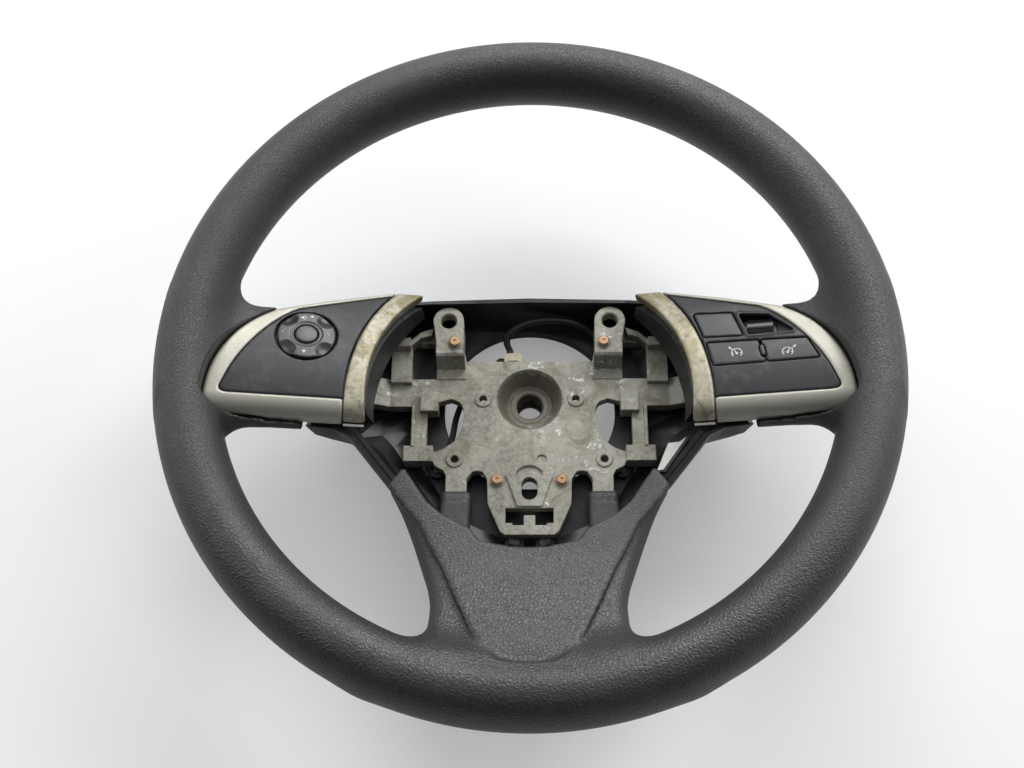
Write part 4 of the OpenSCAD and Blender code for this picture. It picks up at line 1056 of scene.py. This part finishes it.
FLOOR_HALF = 6.0
corners = [(x * FLOOR_HALF, y * FLOOR_HALF, LO0[2])
           for x, y in ((-1, -1), (1, -1), (1, 1), (-1, 1))]
me = bpy.data.meshes.new("floor")
me.from_pydata(corners, [], [(0, 1, 2, 3)])
floor = bpy.data.objects.new("floor", me)
bpy.context.scene.collection.objects.link(floor)


def mat_floor():
    """White table with a glow of its own for the camera, darker for mirrored and bounced light."""
    k = Maker("pale_floor")
    path = k.n("ShaderNodeLightPath")
    seen = path.outputs["Is Camera Ray"]
    tone = k.mix(k.remap(k.noise(3.0, 2.0), 0.3, 0.7), (0.83, 0.83, 0.835), (0.86, 0.86, 0.865))
    far = k.mix(path.outputs["Is Glossy Ray"], (0.36, 0.36, 0.365), (0.62, 0.62, 0.625))
    k.finish(k.mix(seen, far, tone), 0.7, spec=0.25)
    glow = k.n("ShaderNodeEmission")
    k.put(glow.inputs["Color"], (0.93, 0.93, 0.94, 1.0))
    mix = k.n("ShaderNodeMixShader")
    k.put(mix.inputs[0], k.mul(seen, 0.28))
    k.put(mix.inputs[1], k.b.outputs[0])
    k.put(mix.inputs[2], glow.outputs[0])
    k.put(k.out.inputs[0], mix.outputs[0])
    return k.m


me.materials.append(mat_floor())

# Soft room: bright ahead and above, dim on the side that the camera stands on
world = bpy.data.worlds.new("studio")
bpy.context.scene.world = world
world.use_nodes = True
wt = world.node_tree
sky = wt.nodes["Background"]
coord = wt.nodes.new("ShaderNodeTexCoord")
tilt = wt.nodes.new("ShaderNodeVectorMath")
tilt.operation = "DOT_PRODUCT"
wt.links.new(coord.outputs["Generated"], tilt.inputs[0])
tilt.inputs[1].default_value = (0.15, 0.77, 0.62)
ramp = wt.nodes.new("ShaderNodeMapRange")
wt.links.new(tilt.outputs["Value"], ramp.inputs["Value"])
for key, v in (("From Min", -0.35), ("From Max", 1.0), ("To Min", 0.02), ("To Max", 0.85)):
    ramp.inputs[key].default_value = v
wt.links.new(ramp.outputs["Result"], sky.inputs["Strength"])
sky.inputs["Color"].default_value = (0.95, 0.975, 1.0, 1.0)
plain = wt.nodes.new("ShaderNodeBackground")
plain.inputs["Color"].default_value = (1.0, 1.0, 1.0, 1.0)
plain.inputs["Strength"].default_value = 1.0
seen = wt.nodes.new("ShaderNodeLightPath")
both = wt.nodes.new("ShaderNodeMixShader")
wt.links.new(seen.outputs["Is Camera Ray"], both.inputs[0])
wt.links.new(sky.outputs[0], both.inputs[1])
wt.links.new(plain.outputs[0], both.inputs[2])
wt.links.new(both.outputs[0], wt.nodes["World Output"].inputs[0])


def area(name, loc, target, size, power, color=(1, 1, 1)):
    d = bpy.data.lights.new(name, "AREA")
    d.shape = "RECTANGLE"
    d.size, d.size_y = size
    d.energy = power
    d.color = color
    o = bpy.data.objects.new(name, d)
    bpy.context.scene.collection.objects.link(o)
    o.location = loc
    o.rotation_euler = (Vector(target) - Vector(loc)).to_track_quat("-Z", "Y").to_euler()


area("key_light", (0.32, 1.30, 1.05), (0, 0, 0.05), (1.3, 0.8), 23, (1.0, 0.99, 0.97))
area("side_light", (1.20, 0.38, 0.80), (0.05, 0, 0.05), (0.9, 0.7), 8, (0.97, 0.98, 1.0))
area("left_light", (-1.20, 0.42, 0.70), (-0.05, 0, 0.05), (0.9, 0.7), 6, (0.97, 0.98, 1.0))

# Camera where the photograph was taken from
cd = bpy.data.cameras.new("camera")
cam = bpy.data.objects.new("camera", cd)
bpy.context.scene.collection.objects.link(cam)
cam.rotation_mode = "XYZ"
cam.location = (0.00685, -0.28674, 0.65774)
cam.rotation_euler = [math.radians(a) for a in (24.572, 1.323, 0.275)]
cd.sensor_width = 36.0
cd.lens = 45.70
cd.clip_start, cd.clip_end = 0.01, 50.0
bpy.context.scene.camera = cam
bpy.context.scene.view_settings.view_transform = "Standard"
